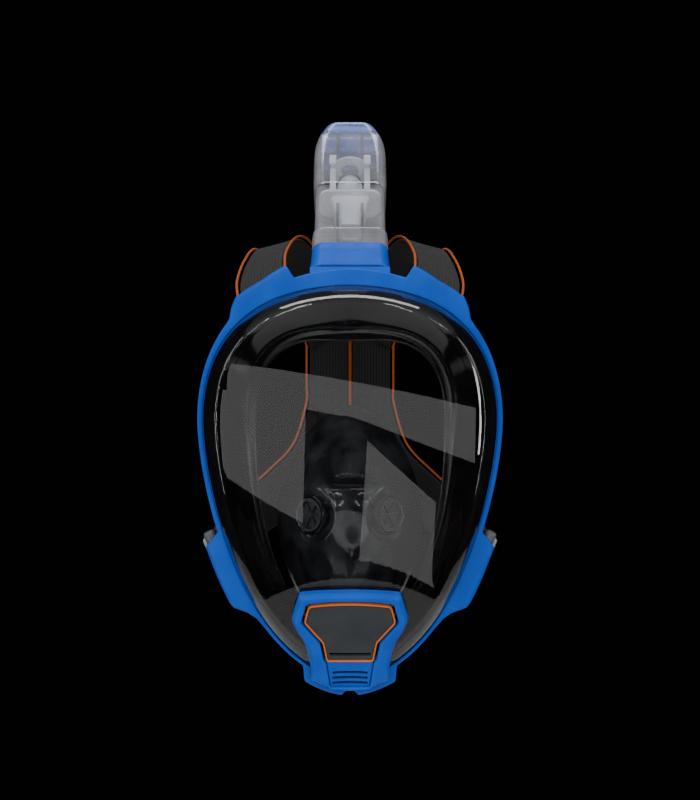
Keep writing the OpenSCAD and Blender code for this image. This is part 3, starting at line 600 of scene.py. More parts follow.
def make_rim():
    """The rim's section: a rounded inner lip, the front face, an outer edge whose bevel widens
    on the pads, a step behind them and the wall that runs back round the skirt."""
    a = rim_angles()
    ri, ro, rise, y = inner_r(a), outer_r(a), feature_rise(a), rim_y(a)
    rt = ro + rise
    b_in = np.ones_like(a)
    b_out = 1.2 + 1.8 * np.clip(rise / PAD_RISE, 0, 1)
    r1, y1 = quarter(ri + b_in, y + b_in, b_in, b_in, 180, 270)
    r2, y2 = quarter(rt - b_out, y + b_out, b_out, b_out, 270, 360, 6)
    mid = (r1[:, -1:] + r2[:, :1]) / 2

    def flat(r, d):
        return r[:, None], (y + d)[:, None]

    step = ro - 0.2
    rows = [flat(ri, RIM_LIP), (r1, y1), (mid, y[:, None]), (r2, y2),
            flat(rt, PAD_T - 0.6), flat(rt - 0.5, PAD_T), flat(step, PAD_T), flat(step, RIM_DEPTH - 0.4),
            flat(step - 0.4, RIM_DEPTH), flat(ro - RIM_WALL + 0.3, RIM_DEPTH),
            flat(ro - RIM_WALL, RIM_DEPTH - 0.3), flat(ro - RIM_WALL, RIM_LIP)]
    r = np.concatenate([q[0] for q in rows], 1)
    d = np.concatenate([q[1] for q in rows], 1)
    piece("rim", [swept(at_polar(a[:, None], r, d))], "blue_shell", ["frame_rim"], sharp=38)


GROOVE = RIM_WALL + SEAT_GAP
BEAD_FROM, BEAD_T, BEAD_W, CLAMP_FROM = 5.4, 3.6, 3.2, 9.1
VISOR_SEAT, FLANGE_T = 3.1, 2.2
EVEN = np.arange(0, 360, 1.0)


def make_clamp_ring():
    """A ring with softened corners that closes the groove behind the skirt's bead."""
    r, y = outer_r(EVEN) - GROOVE, rim_y(EVEN)
    w, c, t = BEAD_W - SEAT_GAP, 0.5, RIM_DEPTH - 0.5
    section = [(w, CLAMP_FROM + c), (w - c, CLAMP_FROM), (c, CLAMP_FROM), (0, CLAMP_FROM + c),
               (0, t - c), (c, t), (w - c, t), (w, t - c)]
    p = np.stack([at_polar(EVEN, r - q[0], y + q[1]) for q in section], 1)
    piece("clamp_ring_moulding", [swept(rounded_section(p, 1))], "inner_ring",
          ["clamp_ring"], sharp=40)


def chin_plane(z):
    return CHIN_Y - (z - CHIN_Z) * math.tan(math.radians(CHIN_TILT))


def visor_front(x, z):
    """A shallow dome: squares of the distances sideways, to the brow and to the chin, never in
    front of the chin bezel's back plane, with the crease between the two softened."""
    dome = (-RIM_FORWARD - VISOR_HEIGHT + SIDE_BOW * (x / HALF_W) ** 2
            + BROW_BOW * (np.maximum(0, z - WIDEST_Z) / RISE_UP) ** 2
            + CHIN_BOW * (np.maximum(0, WIDEST_Z - z) / DROP_DOWN) ** 2)
    chin = chin_plane(z) + 0.4
    return (dome + chin + np.sqrt((dome - chin) ** 2 + 1.0)) / 2


def visor_side(thick, wall):
    """Rings from the dome's middle over the ridge and down the steep wall, a superellipse."""
    a = EVEN[None, :]
    share = np.concatenate([[0.03], np.linspace(0.08, 0.97, 24)])[:, None]
    r = (inner_r(a) - VISOR_INSET - WALL_W) * share
    p = at_polar(a, r, 0)
    plate = points(p[..., 0], visor_front(p[..., 0], p[..., 2]) + thick, p[..., 2])
    u = wall[:, None]
    tall = (1 - (1 - u) ** 1.9) ** (1 / 1.9)
    r = inner_r(a) - VISOR_INSET - WALL_W * u - thick * (1 - tall)
    p = at_polar(a, r, 0)
    edge = rim_y(a) + VISOR_SEAT
    depth = edge + tall * (visor_front(p[..., 0], p[..., 2]) - edge) + thick * tall
    return np.concatenate([plate, points(p[..., 0], depth, p[..., 2])])


def make_visor():
    wall = 1 - np.linspace(0, 1, 26) ** 1.2
    outer, inner = visor_side(0, wall), visor_side(VISOR_T, wall)
    a = EVEN[None, :]
    groove, inside = outer_r(a) - GROOVE, inner_r(a) - VISOR_INSET - VISOR_T
    flange = np.concatenate([at_polar(a, groove, rim_y(a) + VISOR_SEAT),
                             at_polar(a, groove, rim_y(a) + VISOR_SEAT + FLANGE_T),
                             at_polar(a, inside, rim_y(a) + VISOR_SEAT + FLANGE_T)])
    shell = capped(np.concatenate([outer, flange, inner[-2::-1]]))
    obj = piece("visor_dome", [shell], "visor_clear", ["visor"], sharp=50)
    bore = DRAIN_R + SEAT_GAP
    drain = turned([[bore, -14], [bore, 14]], chin_at(0, 0, DRAIN_V), turn_x(CHIN_TILT + 90))
    cut(obj, [[drain]], 50)


def chin_at(x, out, v):
    """Points on the chin: across, out of the bezel's back plane, and up the bezel."""
    return placed(points(x, -np.asarray(out, float), v), [0, CHIN_Y, CHIN_Z], turn_x(CHIN_TILT))


def on_chin(p):
    """Places points given as across, up the bezel and out of its back plane."""
    return chin_at(p[..., 0], p[..., 2], p[..., 1])


SEAL_HALF_W, SEAL_UP, SEAL_DOWN, LIP_W, SKIRT_T, TEMPLE_BACK = 72.0, 62.0, 150.0, 14.0, 2.6, 14.0


def make_skirt():
    """The skirt's section: the bead in the rim's groove, a bellows fold down to the face seal,
    the inward lip and the way back. Its corners are cut three times, which rounds the silicone."""
    a = EVEN
    low = (1 - cosd(a)) / 2
    r, y = outer_r(a) - GROOVE, rim_y(a)
    s, e = egg(a, SEAL_HALF_W, SEAL_UP, SEAL_DOWN, 2), TEMPLE_BACK * sind(a) ** 2 + 10 * low**4
    o = s - LIP_W + 4 * low
    neck, tail = r - BEAD_W, y + RIM_DEPTH
    mid_r, mid_y = neck + (s - neck) * 0.65, tail + (e - tail) * 0.55
    fold_r, fold_y = neck + (s - neck) * 0.3, tail + (e - tail) * 0.3
    section = [
        (r, y + BEAD_FROM), (r, y + BEAD_FROM + BEAD_T), (neck, y + BEAD_FROM + BEAD_T),
        (neck, tail), (fold_r - 0.8, fold_y), (mid_r + 0.6, mid_y), (s, e - 5), (s - 0.6, e - 1),
        (s - 3, e), (o + 4, e - 2.4), (o, e - 5), (o, e - 5 - 0.5 * SKIRT_T), (o + 4, e - 5.4),
        (s - 1.6 * SKIRT_T, e - 2.2 * SKIRT_T), (mid_r - SKIRT_T + 0.6, mid_y),
        (fold_r - SKIRT_T - 0.8, fold_y), (neck - SKIRT_T, tail), (neck - SKIRT_T, y + BEAD_FROM),
    ]
    p = np.stack([at_polar(a, q[0], q[1]) for q in section], 1)
    piece("silicone_skirt", [swept(rounded_section(p, 3))], "skirt_silicone",
          ["skirt"], sharp=70)


# ---------- Nose pocket and inhale valves ----------
POCKET_Z, POCKET_RIM_Y, POCKET_DEPTH = -28.0, 1.0, 50.0
INHALE_X, INHALE_Z, INHALE_TILT, INHALE_R = 23.0, -22.0, 42.0, 10.0


def pocket_r(a):
    return egg(a, 46.0, 72.0, 74.0, 1.75)


def pocket_dome(x, z):
    """Share of the pocket's full depth over a point of its outline plane."""
    a = np.degrees(np.arctan2(x, z - POCKET_Z))
    share = np.hypot(x, z - POCKET_Z) / pocket_r(a)
    return 1 - share**2.6


def pocket_relief(x, z):
    """What stands on the plain dome: the nose hood, cut off below along an arch with a rolled
    lip; a hollow under it; flutes that fan up the hood from its foot; the mouth's bulge; and
    soft upright pleats above the chin."""
    arch = 1.8 - 0.0106 * x**2
    over = smooth_step(z, arch - 5, arch)
    hood_w = 11 + 0.17 * np.maximum(0, 34 - z)
    hood = 13 * np.exp(-((x / hood_w) ** 2) - ((z - 8) / 25) ** 2) * (0.25 + 0.75 * over)
    roll = 1.3 * np.exp(-(((z - arch - 1.6) / 1.5) ** 2)) * np.exp(-((x / 24) ** 4))
    under = -4.5 * np.exp(-((x / 17) ** 2) - ((z - arch + 9) / 6) ** 2)
    fan, far = np.arctan2(x, z + 5), np.hypot(x, z + 5)
    flutes = 0.34 * np.cos(13 * fan) * np.clip(far / 18, 0, 1) * over * np.exp(-((x / 24) ** 4))
    flutes = flutes * (1 - smooth_step(z, 26, 42))
    mouth = 5 * np.exp(-((x / 15) ** 2) - ((z + 50) / 20) ** 2)
    pleats = 0.5 * np.cos(x / 1.9) * np.exp(-((z + 66) / 24) ** 2)
    return hood + roll + under + flutes + mouth + pleats


PAN_R, PAN_DEPTH = 17.5, 3.0


def into_pans(p, thick):
    """Presses a round pan into the cheeks about each inhale valve, square to the valve's axis."""
    for side in (1, -1):
        origin, turn = inhale_place(side)
        axis = turn[:, 2]
        out = (p - origin) @ axis
        far = np.linalg.norm(p - origin - out[..., None] * axis, axis=-1)
        share = 1 - smooth_step(far, PAN_R - 3.4, PAN_R)
        p = p - ((out + PAN_DEPTH + thick) * share)[..., None] * axis
    return p


def pocket_point(a, share, thick):
    r = pocket_r(a) * share * (1 - thick / 46.0)
    x, z = r * sind(a), POCKET_Z + r * cosd(a)
    dome = 1 - share**2.6
    keep = np.minimum(1, 3 * dome)
    return points(x, POCKET_RIM_Y - (POCKET_DEPTH - thick) * dome - pocket_relief(x, z) * keep, z)


def inhale_place(side):
    depth = POCKET_RIM_Y - POCKET_DEPTH * pocket_dome(side * INHALE_X, INHALE_Z)
    return np.array([side * INHALE_X, depth, INHALE_Z]), turn_z(side * INHALE_TILT) @ turn_x(90)


def make_nose_pocket():
    """The pocket as a shell between the relief and the same surface a wall further in, with a
    bore and a rolled collar for each inhale valve."""
    a = np.arange(0, 360, 1.2)[None, :]
    rim_shares = 1 - np.linspace(0.085, 0, 12) ** 1.15
    share = np.concatenate([[0.02], np.linspace(0.04, 0.9, 88), rim_shares])[:, None]
    outer, inner = (into_pans(pocket_point(a, share, thick), thick) for thick in (0, SKIRT_T))
    shell = capped(np.concatenate([outer, inner[::-1]]))
    # The pocket wears the paler silicone, a painted gleam, instead of its slot's own black finish.
    obj = piece("nose_and_mouth_pocket", [shell], "skirt_silicone", ["nose_pocket"], sharp=60,
                material=PAINTED_GLEAM_SILICONE)
    r = INHALE_R
    bore = [[r + 0.6, -13], [r + 0.6, 13]]
    collar = [[r + 0.15, -6], [r + 2.2, -6], [r + 2.4, 1.2], [r + 2.2, 2.4], [r + 0.8, 2.6],
              [r + 0.15, 1.8]]
    cut(obj, [[turned(bore, *inhale_place(side))] for side in (1, -1)], 60)
    for side, name in SIDES:
        piece(f"inhale_collar_{name}", [swept_ring(collar, *inhale_place(side))],
              "skirt_silicone", [], sharp=60)


def swept_ring(section, origin, turn, steps=72):
    """A closed section of [radius, height] points spun about its own upright axis, then placed."""
    q = rounded_section(np.asarray(section, float)[None], 2)[0]
    a = np.linspace(0, 360, steps, endpoint=False)[:, None]
    r, h = q[None, :, 0], q[None, :, 1]
    return swept(placed(points(r * cosd(a), r * sind(a), h + 0 * a), origin, turn))


# ---------- Chin bezel, cover and louvres ----------
BEZEL_SIDE = [[0, 65], [15, 64.6], [28.9, 63.5], [33.5, 47.4], [30.8, 40.2], [26.3, 32.5], [24, 24.7],
              [22.9, 17], [23, 7.9], [15, 3.9], [8, 2], [0, 1.3]]
OPENING_SIDE = [[0, 60.1], [12, 59.8], [24.9, 58.4], [28.1, 46.2], [17.3, 32.8], [15.2, 22],
                [13.8, 20.4], [11.6, 4.2], [0, 4.0]]
BEZEL_MIDDLE = 35.0


def ray_length(side, a, soften):
    """Distance from the bezel's middle to a mirrored outline at an angle from straight up, with
    its corners rounded by an average over a small turn."""
    side = np.asarray(side, float)
    step = np.linspace(0, len(side) - 1, 1200)
    x = np.interp(step, np.arange(len(side)), side[:, 0])
    v = np.interp(step, np.arange(len(side)), side[:, 1]) - BEZEL_MIDDLE
    angle, far = np.degrees(np.arctan2(x, v)), np.hypot(x, v)
    total = 0
    for shift in np.linspace(-soften, soften, 7):
        total = total + np.interp(np.abs((a + shift + 180) % 360 - 180), angle, far)
    return total / 7


def make_bezel():
    """A plate with a waisted opening: rows go up the opening's wall, round its edge, over the
    gently crowned face, down a broad outer facet and back along the plate's foot."""
    a = np.arange(0, 360, 0.75)
    ro, ri = ray_length(BEZEL_SIDE, a, 2.2), ray_length(OPENING_SIDE, a, 1.6)
    width, t = ro - ri, BEZEL_T
    facet, edge = np.minimum(2.6, 0.45 * width), np.minimum(0.7, 0.25 * width)
    section = [(ri, 0), (ri, t - 1.2), (ri + 0.3 * edge, t - 0.4), (ri + edge, t - 0.1),
               (ri + edge + 0.15 * width, t), (ro - facet - 0.1 * width, t), (ro - facet, t - 0.12),
               (ro - 0.75 * facet, t - 0.5), (ro - 0.15 * facet, t - 2.3), (ro, t - 3.0), (ro, 0.3),
               (ro - 0.3, 0)]
    r = np.stack([q[0] + 0 * a for q in section], 1)
    d = np.stack([q[1] + 0 * a for q in section], 1)
    p = chin_at(r * sind(a[:, None]), d, BEZEL_MIDDLE + r * cosd(a[:, None]))
    piece("chin_bezel_moulding", [swept(p)], "blue_shell", ["chin_bezel"], sharp=24)


def cover_half_width(v):
    return np.interp(v, [20.8, 21.8, 33.1, 46.3, 55, 56.9], [13.4, 13.8, 15.7, 26.4, 24.2, 23.4])


def cover_spot(u, t, inset=0.0):
    """A point of the cover's outline plane: u runs across from -1 to 1 and t up from 0 to 1."""
    top = COVER_TOP - inset - 1.6 * u**2
    foot = COVER_FOOT + inset
    v = foot + t * (top - foot)
    return u * (cover_half_width(v) - inset), v


def make_cover():
    """A crowned plate with a rolled edge, a shallow frame line and a slot near its foot."""
    u, t = plate_shares(90, 110)
    x, v = cover_spot(u, t, TRIM_W + SEAT_GAP)
    roll = np.clip(np.minimum((1 - np.abs(u)) * cover_half_width(v),
                              np.minimum(t, 1 - t) * (COVER_TOP - COVER_FOOT)), 0, 1)
    crown = 0.35 * (1 - u**2) * (1 - (2 * t - 1) ** 2)
    out = COVER_FRONT - 0.45 * (1 - quarter_round(roll)) + crown - 0.35
    plate = slab(chin_at(x, out, v), chin_at(x, COVER_BACK + 0 * x, v))
    pins = [turned([[1.5, 0], [1.5, COVER_BACK]], chin_at(side * (DRAIN_R + 3), 0, DRAIN_V),
                   turn_x(CHIN_TILT + 90)) for side in (1, -1)]
    obj = piece("chin_cover_plate", [plate, *pins], "cover_grey", ["chin_cover", "cover_pins"],
                "cover", 30)
    slot = box_of([-12, COVER_FOOT + 4, 2], [12, COVER_FOOT + 6, 9], on_chin, 0.5)
    cut(obj, [[slot]], 30)


def make_cover_trim():
    """An orange bead round the cover: a rounded bar along the outline between cover and bezel."""
    e = np.linspace(-1, 1, 60, endpoint=False)
    one = np.ones_like(e)
    u = np.concatenate([e, one, -e, -one])
    t = np.concatenate([0 * one, (e + 1) / 2, one, (1 - e) / 2])
    x, v = cover_spot(u, t, TRIM_W / 2)
    for _ in range(5):
        x, v = ((np.roll(q, 1) + 2 * q + np.roll(q, -1)) / 4 for q in (x, v))
    dx, dv = np.roll(x, -1) - np.roll(x, 1), np.roll(v, -1) - np.roll(v, 1)
    far = np.hypot(dx, dv)
    nx, nv = dv / far, -dx / far
    w, low, high = TRIM_W / 2, COVER_BACK, COVER_FRONT + 0.1
    section = [(-w, low), (-w, high - 0.4), (-0.6 * w, high), (0.6 * w, high), (w, high - 0.4), (w, low)]
    p = np.stack([chin_at(x + q[0] * nx, q[1] + 0 * x, v + q[0] * nv) for q in section], 1)
    piece("cover_trim_bead", [swept(p)], "orange_trim", ["chin_cover_trim"], "cover", 50)


LOUVRE_FOOT, SLOT_HALF_W = 4.4, 10.2


def make_louvres():
    """The insert under the cover: a crowned plate with three bowed slots."""
    u, t = plate_shares(70, 60)
    v = LOUVRE_FOOT + t * (COVER_FOOT - 4.6)
    half = 11.2 + (v - LOUVRE_FOOT) * 2.2 / 16
    roll = np.clip(np.minimum((1 - np.abs(u)) * half, np.minimum(t, 1 - t) * 16) / 0.8, 0, 1)
    out = COVER_FRONT - 0.4 - 0.4 * (1 - quarter_round(roll))
    obj = piece("louvre_plate", [slab(chin_at(u * half, out, v), chin_at(u * half, 4.0 + 0 * v, v))],
                "blue_shell", ["louvre_insert"], sharp=30)
    x = np.linspace(-SLOT_HALF_W, SLOT_HALF_W, 40)[None, :]
    slots = []
    for low in (5.6, 9.0, 12.4):
        rise = np.array([-0.15, 1.95])[:, None] + low + 0.5 - 0.5 * (x / SLOT_HALF_W) ** 2
        slots.append([slab(chin_at(x, 8 + 0 * rise, rise), chin_at(x, 0 * rise, rise))])
    cut(obj, slots, 30)
    # A dark sheet behind the slots that makes them read black: painted shade, where only the blue flange stands
    # behind them.
    slot_shade_sheet = box_of([-11.6, 5, 3.2], [11.6, 20, 3.9], on_chin, 0.2)
    piece("louvre_slot_shade_sheet", [slot_shade_sheet], "gasket_rubber", [], sharp=40)


# ---------- Snorkel ----------
def on_snorkel(x, d, s):
    """Points on the snorkel: across, out of its back, and up its axis."""
    at = points(x, np.asarray(d, float) + BAND_HD, s)
    return placed(at, [0, BASE_FRONT, BASE_Z], turn_x(-LEAN))


def along_snorkel(p):
    """Places points given across, out of the snorkel's back and up its axis."""
    return on_snorkel(p[..., 0], p[..., 1], p[..., 2])


def sleeve_grid(profile, half_w, half_d, corner):
    """A sleeve: each profile point is a height and how far inside the outer wall it lies. The
    wall's half width and half depth are one number, or one for each point. Its lines carry
    haze, 0 on the front half of each ring and 1 on the back half."""
    s, inset = np.asarray(profile, float).T
    w, d = half_w - inset, half_d - inset
    ring = rounded_ring(w, d, np.maximum(corner - inset, 0.6))
    haze = points(np.repeat([1, 0], ring.shape[1] // 2)[None, :] + 0 * s[:, None], 0, 0)
    return on_snorkel(ring[..., 0], ring[..., 1], s[:, None]), haze.reshape(-1, 3)


def lip(low, high, wall, soft=0.5):
    """A wall's profile from low to high, out and back, with its ends rolled."""
    return [(low, wall - soft), (low, soft), (low + soft, 0), (low + 2 * soft, 0), ((low + high) / 2, 0),
            (high - 2 * soft, 0), (high - soft, 0), (high, soft), (high, wall - soft), (high - soft, wall),
            ((low + high) / 2, wall), (low + soft, wall)]


def make_band():
    """Blue band: wider at its foot, with a rolled ledge at the top and a pocket for the latch."""
    low, top = BAND_FROM, BAND_TO
    profile = [(low, 2.5), (low, 0.7), (low + 0.2, 0.2), (low + 0.8, 0), (low + 3, 0), (top - 6, 0),
               (top - 0.5, 0), (top - 0.1, 0.2), (top, 0.6), (top, 1.25), (top - 2, 1.4),
               (low + 3, 2.1), (low + 0.4, 2.75)]
    half_w, half_d = (np.interp([q[0] for q in profile], [low, low + 3, top - 4, top], sizes)
                      for sizes in ([24.9, 24.3, 23.5, 23.3], [17.1, 16.7, 16.1, 16.0]))
    band = sleeve_grid(profile, half_w, half_d, TUBE_CORNER + 2.1)[0]
    obj = piece("snorkel_band_moulding", [swept(band)], "blue_shell", ["snorkel_band"],
                "snorkel", 40)
    window = box_of([-6.4, 13.4, low + 3.7], [6.4, 20, low + 10.3], along_snorkel, 0.8)
    cut(obj, [[window]], 40)


def make_collar():
    """Clear collar above the band, with three raised rings and the inner step they hide."""
    low, top = BAND_TO, COLLAR_TO
    rings = []
    for s in (low + 2.2, low + 5.4, low + 8.6):
        rings += [(s - 0.5, 0.35), (s - 0.3, 0.05), (s + 0.3, 0.05), (s + 0.5, 0.35)]
    profile = [(low, 1.2), (low, 0.5), (low + 0.3, 0.3), *rings, (top - 1.6, 0.3),
               (top - 0.8, 0.35), (top - 0.2, 0.6), (top, 0.9), (top, 1.28), (low + 5, 1.3)]
    p, haze = sleeve_grid(profile, 23.4, 15.9, TUBE_CORNER + 1.3)
    piece("snorkel_collar_sleeve", [swept(p)], "snorkel_clear", ["snorkel_collar"],
          "snorkel", 35, [haze])


def make_tube():
    """Clear tube with a rolled foot, and the ridges that part its channels."""
    profile = lip(TUBE_FROM, TUBE_TO, TUBE_WALL)
    half_w = np.interp([q[0] for q in profile], [TUBE_FROM, 22, TUBE_TO], [22.0, 22.3, 21.7])
    tube, haze = sleeve_grid(profile, half_w, TUBE_HD, TUBE_CORNER)
    ridges = []
    for x in (-CHANNEL_X, CHANNEL_X):
        for d in (-1, 1):
            low, high = sorted((d * (TUBE_HD - TUBE_WALL + 0.1), d * (TUBE_HD - TUBE_WALL - 4)))
            ridges.append(box_of([x - 0.9, low, BAND_TO - 2], [x + 0.9, high, BAND_TO + 36],
                                 along_snorkel, 0.3, 3))
    piece("snorkel_tube_shell", [swept(tube)], "snorkel_clear", ["snorkel_tube"],
          "snorkel", 35, [haze])
    piece("tube_channel_ribs", ridges, "snorkel_clear", [], "snorkel", 35, material=SMOKY)


def make_head_liner():
    """What shows through the head's front: a blue liner under the cap, with two dark ribs and
    a pale foot."""
    liner = box_of([-18.6, -15.5, 98.5], [18.6, -14.4, HEAD_TO - 0.4], along_snorkel, 0.4, 3)
    fold = box_of([-18.6, -14.3, 98.5], [18.6, -13.1, 102.5], along_snorkel, 0.4, 3)
    haze = points(np.full(len(liner[0]) + len(fold[0]), 1), 0, 0)
    piece("cap_liner", [liner, fold], "cap_tint", [], "snorkel", 35, [haze])
    ribs = [box_of([x - 1, -15.95, 96], [x + 1, -15.55, HEAD_TO - 1], along_snorkel, 0.15, 3)
            for x in (-CHANNEL_X, CHANNEL_X)]
    piece("cap_liner_ribs", ribs, "cap_tint", [], "snorkel", 35, material=SMOKY)
    feet = [box_of([x - 2.3, -15.4, 88], [x + 2.3, -13, 95.5], along_snorkel, 0.6, 3)
            for x in (-POST_X, POST_X)]
    piece("cap_liner_feet", feet, "cap_tint", [], "snorkel", 35, material=MILKY)


def head_half(s):
    """Half width of the head: its sides draw in towards the cap with a power of the height."""
    return HEAD_HW - 8 * (np.maximum(0, s - 90.2) / 33) ** 3.2


def make_head():
    """Clear head: a sleeve over the tube's end, a waist line, and two windows in its back."""
    top = HEAD_TO
    profile = [(68.2, 1.1), (68.6, 0.7), (70.5, 0.25),
               *((s, 0) for s in (73, 78, 84, 90, 95, 100, 104, 107, 110, 112, top - 0.5)),
               (top - 0.1, 0.3), (top - 0.1, 1.8), *((s, 2) for s in (108, 98, 88, 76, 71)),
               (70.6, 1.3), (70, 1.05), (68.3, 1.1)]
    half_w = head_half(np.array([q[0] for q in profile]))
    p, haze = sleeve_grid(profile, half_w, HEAD_HD, TUBE_CORNER + 2)
    obj = piece("dry_top_head", [swept(p)], "snorkel_clear", ["snorkel_head"], "snorkel", 35, [haze])
    windows = [[box_of([x - 6.5, 12.5, top - 23], [x + 6.5, 22, top - 8], along_snorkel, 1.4)]
               for x in (-10, 10)]
    cut(obj, windows, 35)


def make_cap():
    """Tinted cap: the head's section carried up, rolled over with a wide shoulder and closed."""
    low, top, soft, wall = HEAD_TO + 0.15, CAP_TO, 1.6, 2.0
    arc = np.linspace(0, 90, 9)
    outer = [(low, 0.4), (low + 0.4, 0), (low + 2, 0), (low + 4, 0), (low + 6, 0),
             *zip(top - soft + soft * sind(arc), soft * (1 - cosd(arc))),
             (top, 5), (top, 8), (top, 11)]
    inner = [(top - wall, 11), (top - wall, 8), (top - wall, 5), (top - wall, wall + 2),
             (top - wall - 1, wall + 0.3), (low + 2, wall), (low, wall)]
    half_w, n = head_half(np.array([q[0] for q in outer + inner])), len(outer)
    grid, haze = sleeve_grid(outer + inner, half_w, HEAD_HD, TUBE_CORNER + 2)
    shell = capped(np.concatenate([grid[:n][::-1], grid[n:][::-1]]))
    piece("dry_top_cap", [shell], "cap_tint", ["snorkel_cap"], "snorkel", 35,
          [haze, np.ones((2, 3))])


def make_float_cage():
    """Float cage: a funnel into the tube, a brim, two posts and the seat above the float."""
    top, wall, tall = 66.2, 1.3, 24.0
    s = top - np.array([0, 8, 16, tall, tall, 16, 8, -0.1])
    inset = np.array([0, 0, 0, 0.1, wall, wall, wall, wall])
    ring = rounded_ring(np.interp(s, [top - tall, top], [6.7, 12.5]) - inset, 8.0 - inset, 2.6)
    funnel = swept(on_snorkel(ring[..., 0], ring[..., 1], s[:, None]))
    s = np.array([0, 0.3, 1.7, 2.0, 2.0, 1.7, 0.3, 0]) + top
    inset, outer = np.array([0.3, 0, 0, 0.3, 0, 0, 0, 0]), np.arange(8) < 4
    ring = rounded_ring(np.where(outer, TUBE_HW - TUBE_WALL - 0.3 - inset, 11.4),
                        np.where(outer, TUBE_HD - TUBE_WALL - 0.1 - inset, 6.9),
                        np.where(outer, 7.0, 2.4))
    brim = swept(on_snorkel(ring[..., 0], ring[..., 1], s[:, None]))
    seat = FLOAT_FROM + FLOAT_H + 1.5 + 7 + SEAT_GAP
    posts = [box_of([x - 2, -3.5, top + 1.9], [x + 2, 3.5, seat + 0.2], along_snorkel, 0.7)
             for x in (-POST_X, POST_X)]
    plate = swept_ring([[5.6, 0], [12.8, 0], [13, 0.3], [13, 1.4], [12.6, 1.6], [5.8, 1.6]],
                       on_snorkel(0, 0, seat), turn_x(-LEAN))
    piece("float_cage_moulding", [funnel, brim, *posts, plate], "snorkel_clear", ["float_cage"],
          "snorkel", 35, material=MILKY)


def make_float():
    """A hollow-looking float: a barrel with rolled ends and two waist lines."""
    r, h = FLOAT_R, FLOAT_H
    profile = [[1, 0], [r - 2.6, 0], [r - 1.8, 0.3], [r - 0.3, 2.4], [r, 3.4], [r, 5], [r - 0.3, 5.3],
               [r - 0.3, 5.9], [r, 6.2], [r, h - 4.4], [r - 0.3, h - 3.4], [r - 1.8, h - 0.3],
               [r - 2.6, h], [1, h]]
    barrel = turned(profile, on_snorkel(0, 0, FLOAT_FROM), turn_x(-LEAN))
    piece("float_barrel", [barrel], "float_plastic", ["float"], "float", 35)


# ---------- Strap clips ----------
EAR_R = float(outer_r(EAR_A)) + EAR_RISE
EAR_AT = np.array([EAR_R * sind(EAR_A), float(rim_y(EAR_A)) + PAD_T + 3.3,
                   WIDEST_Z + EAR_R * cosd(EAR_A)])


def at_ear(side):
    """Places points behind an ear: outwards, back, and up along the ear's outer edge."""
    def place(p):
        q = placed(p, EAR_AT, turn_y(EAR_TURN))
        return q * np.array([side, 1, 1])
    return place


def make_clips():
    """Each clip: a rounded body with a pocket, a button in it with three grip bars, and a coil
    spring behind the button."""
    for side, name in SIDES:
        place = at_ear(side)
        body = box_of([-8.5, 0, -12], [-1.6, 12, 24.5], place, 2.2, 6)
        obj = piece(f"clip_body_moulding_{name}", [body], "clip_black",
                    [f"clip_body_{name}"], sharp=40)
        cut(obj, [[box_of([-6.5, 2, 6], [1, 10, 22.6], place, 0.6)]], 40)
        button = box_of([-4.7, 2.3, 6.3], [0.4, 9.7, 21.6], place, 2.2, 7)
        grips = [rod(place(np.array([[0.3, 3.6, z], [0.42, 6, z], [0.3, 8.4, z]])), 0.22, 8)
                 for z in (12, 14.3, 16.6)]
        obj = piece(f"clip_button_cap_{name}", [button, *grips], "button_gloss",
                    [f"clip_button_{name}"], f"clip_button_{name}", 40)
        cut(obj, [[box_of([-8, 3.2, 11.5], [-1.6, 8.8, 17.1], place, 0.5)]], 40)
        turns = np.linspace(0, 5 * 360, 160)
        coil = points(-6.5 + 0.35 + turns / 1800 * 2.3,
                      6 + 2.05 * cosd(turns), 14.3 + 2.05 * sind(turns))
        piece(f"clip_spring_coil_{name}", [rod(place(coil), 0.3, 8)], "steel_wire",
              [f"clip_spring_{name}"], sharp=60)


# ---------- Strap ----------
BROW_A = 33.0
BROW_R = float(outer_r(BROW_A)) + 3
BROW_AT = np.array([BROW_R * sind(BROW_A), float(rim_y(BROW_A)) + 11, WIDEST_Z + BROW_R * cosd(BROW_A)])
UPPER_OUTER = [BROW_AT + [14.1, 4.5, -6.6], BROW_AT + [16.6, 30.5, 4.9], [66, 22, 136], [61, 60, 147.5],
               [51, 104, 138], [38, 140, 112], [30, 157, 86]]
UPPER_INNER = [BROW_AT + [-10.4, 5.5, 9.9], BROW_AT + [-9.9, 32.5, 21.9], [37, 25, 150], [31, 60, 154],
               [23, 100, 148], [11, 138, 126], [0.6, 157, 105]]
LOWER_UPPER = [[30, 157, 44], [40, 153, 13], [60, 124, -8], [77, 74, -22], EAR_AT + [5.5, 63.2, 24.6],
               EAR_AT + [3, 21.7, 16.6]]
LOWER_LOWER = [[0.6, 157, -12], [24, 150, -30], [54, 118, -44], [70, 70, -55],
               EAR_AT + [-5.5, 61.2, -4.4], EAR_AT + [-7.5, 21.7, -7.4]]
RIB, PANEL_H = 2.2, 116.0


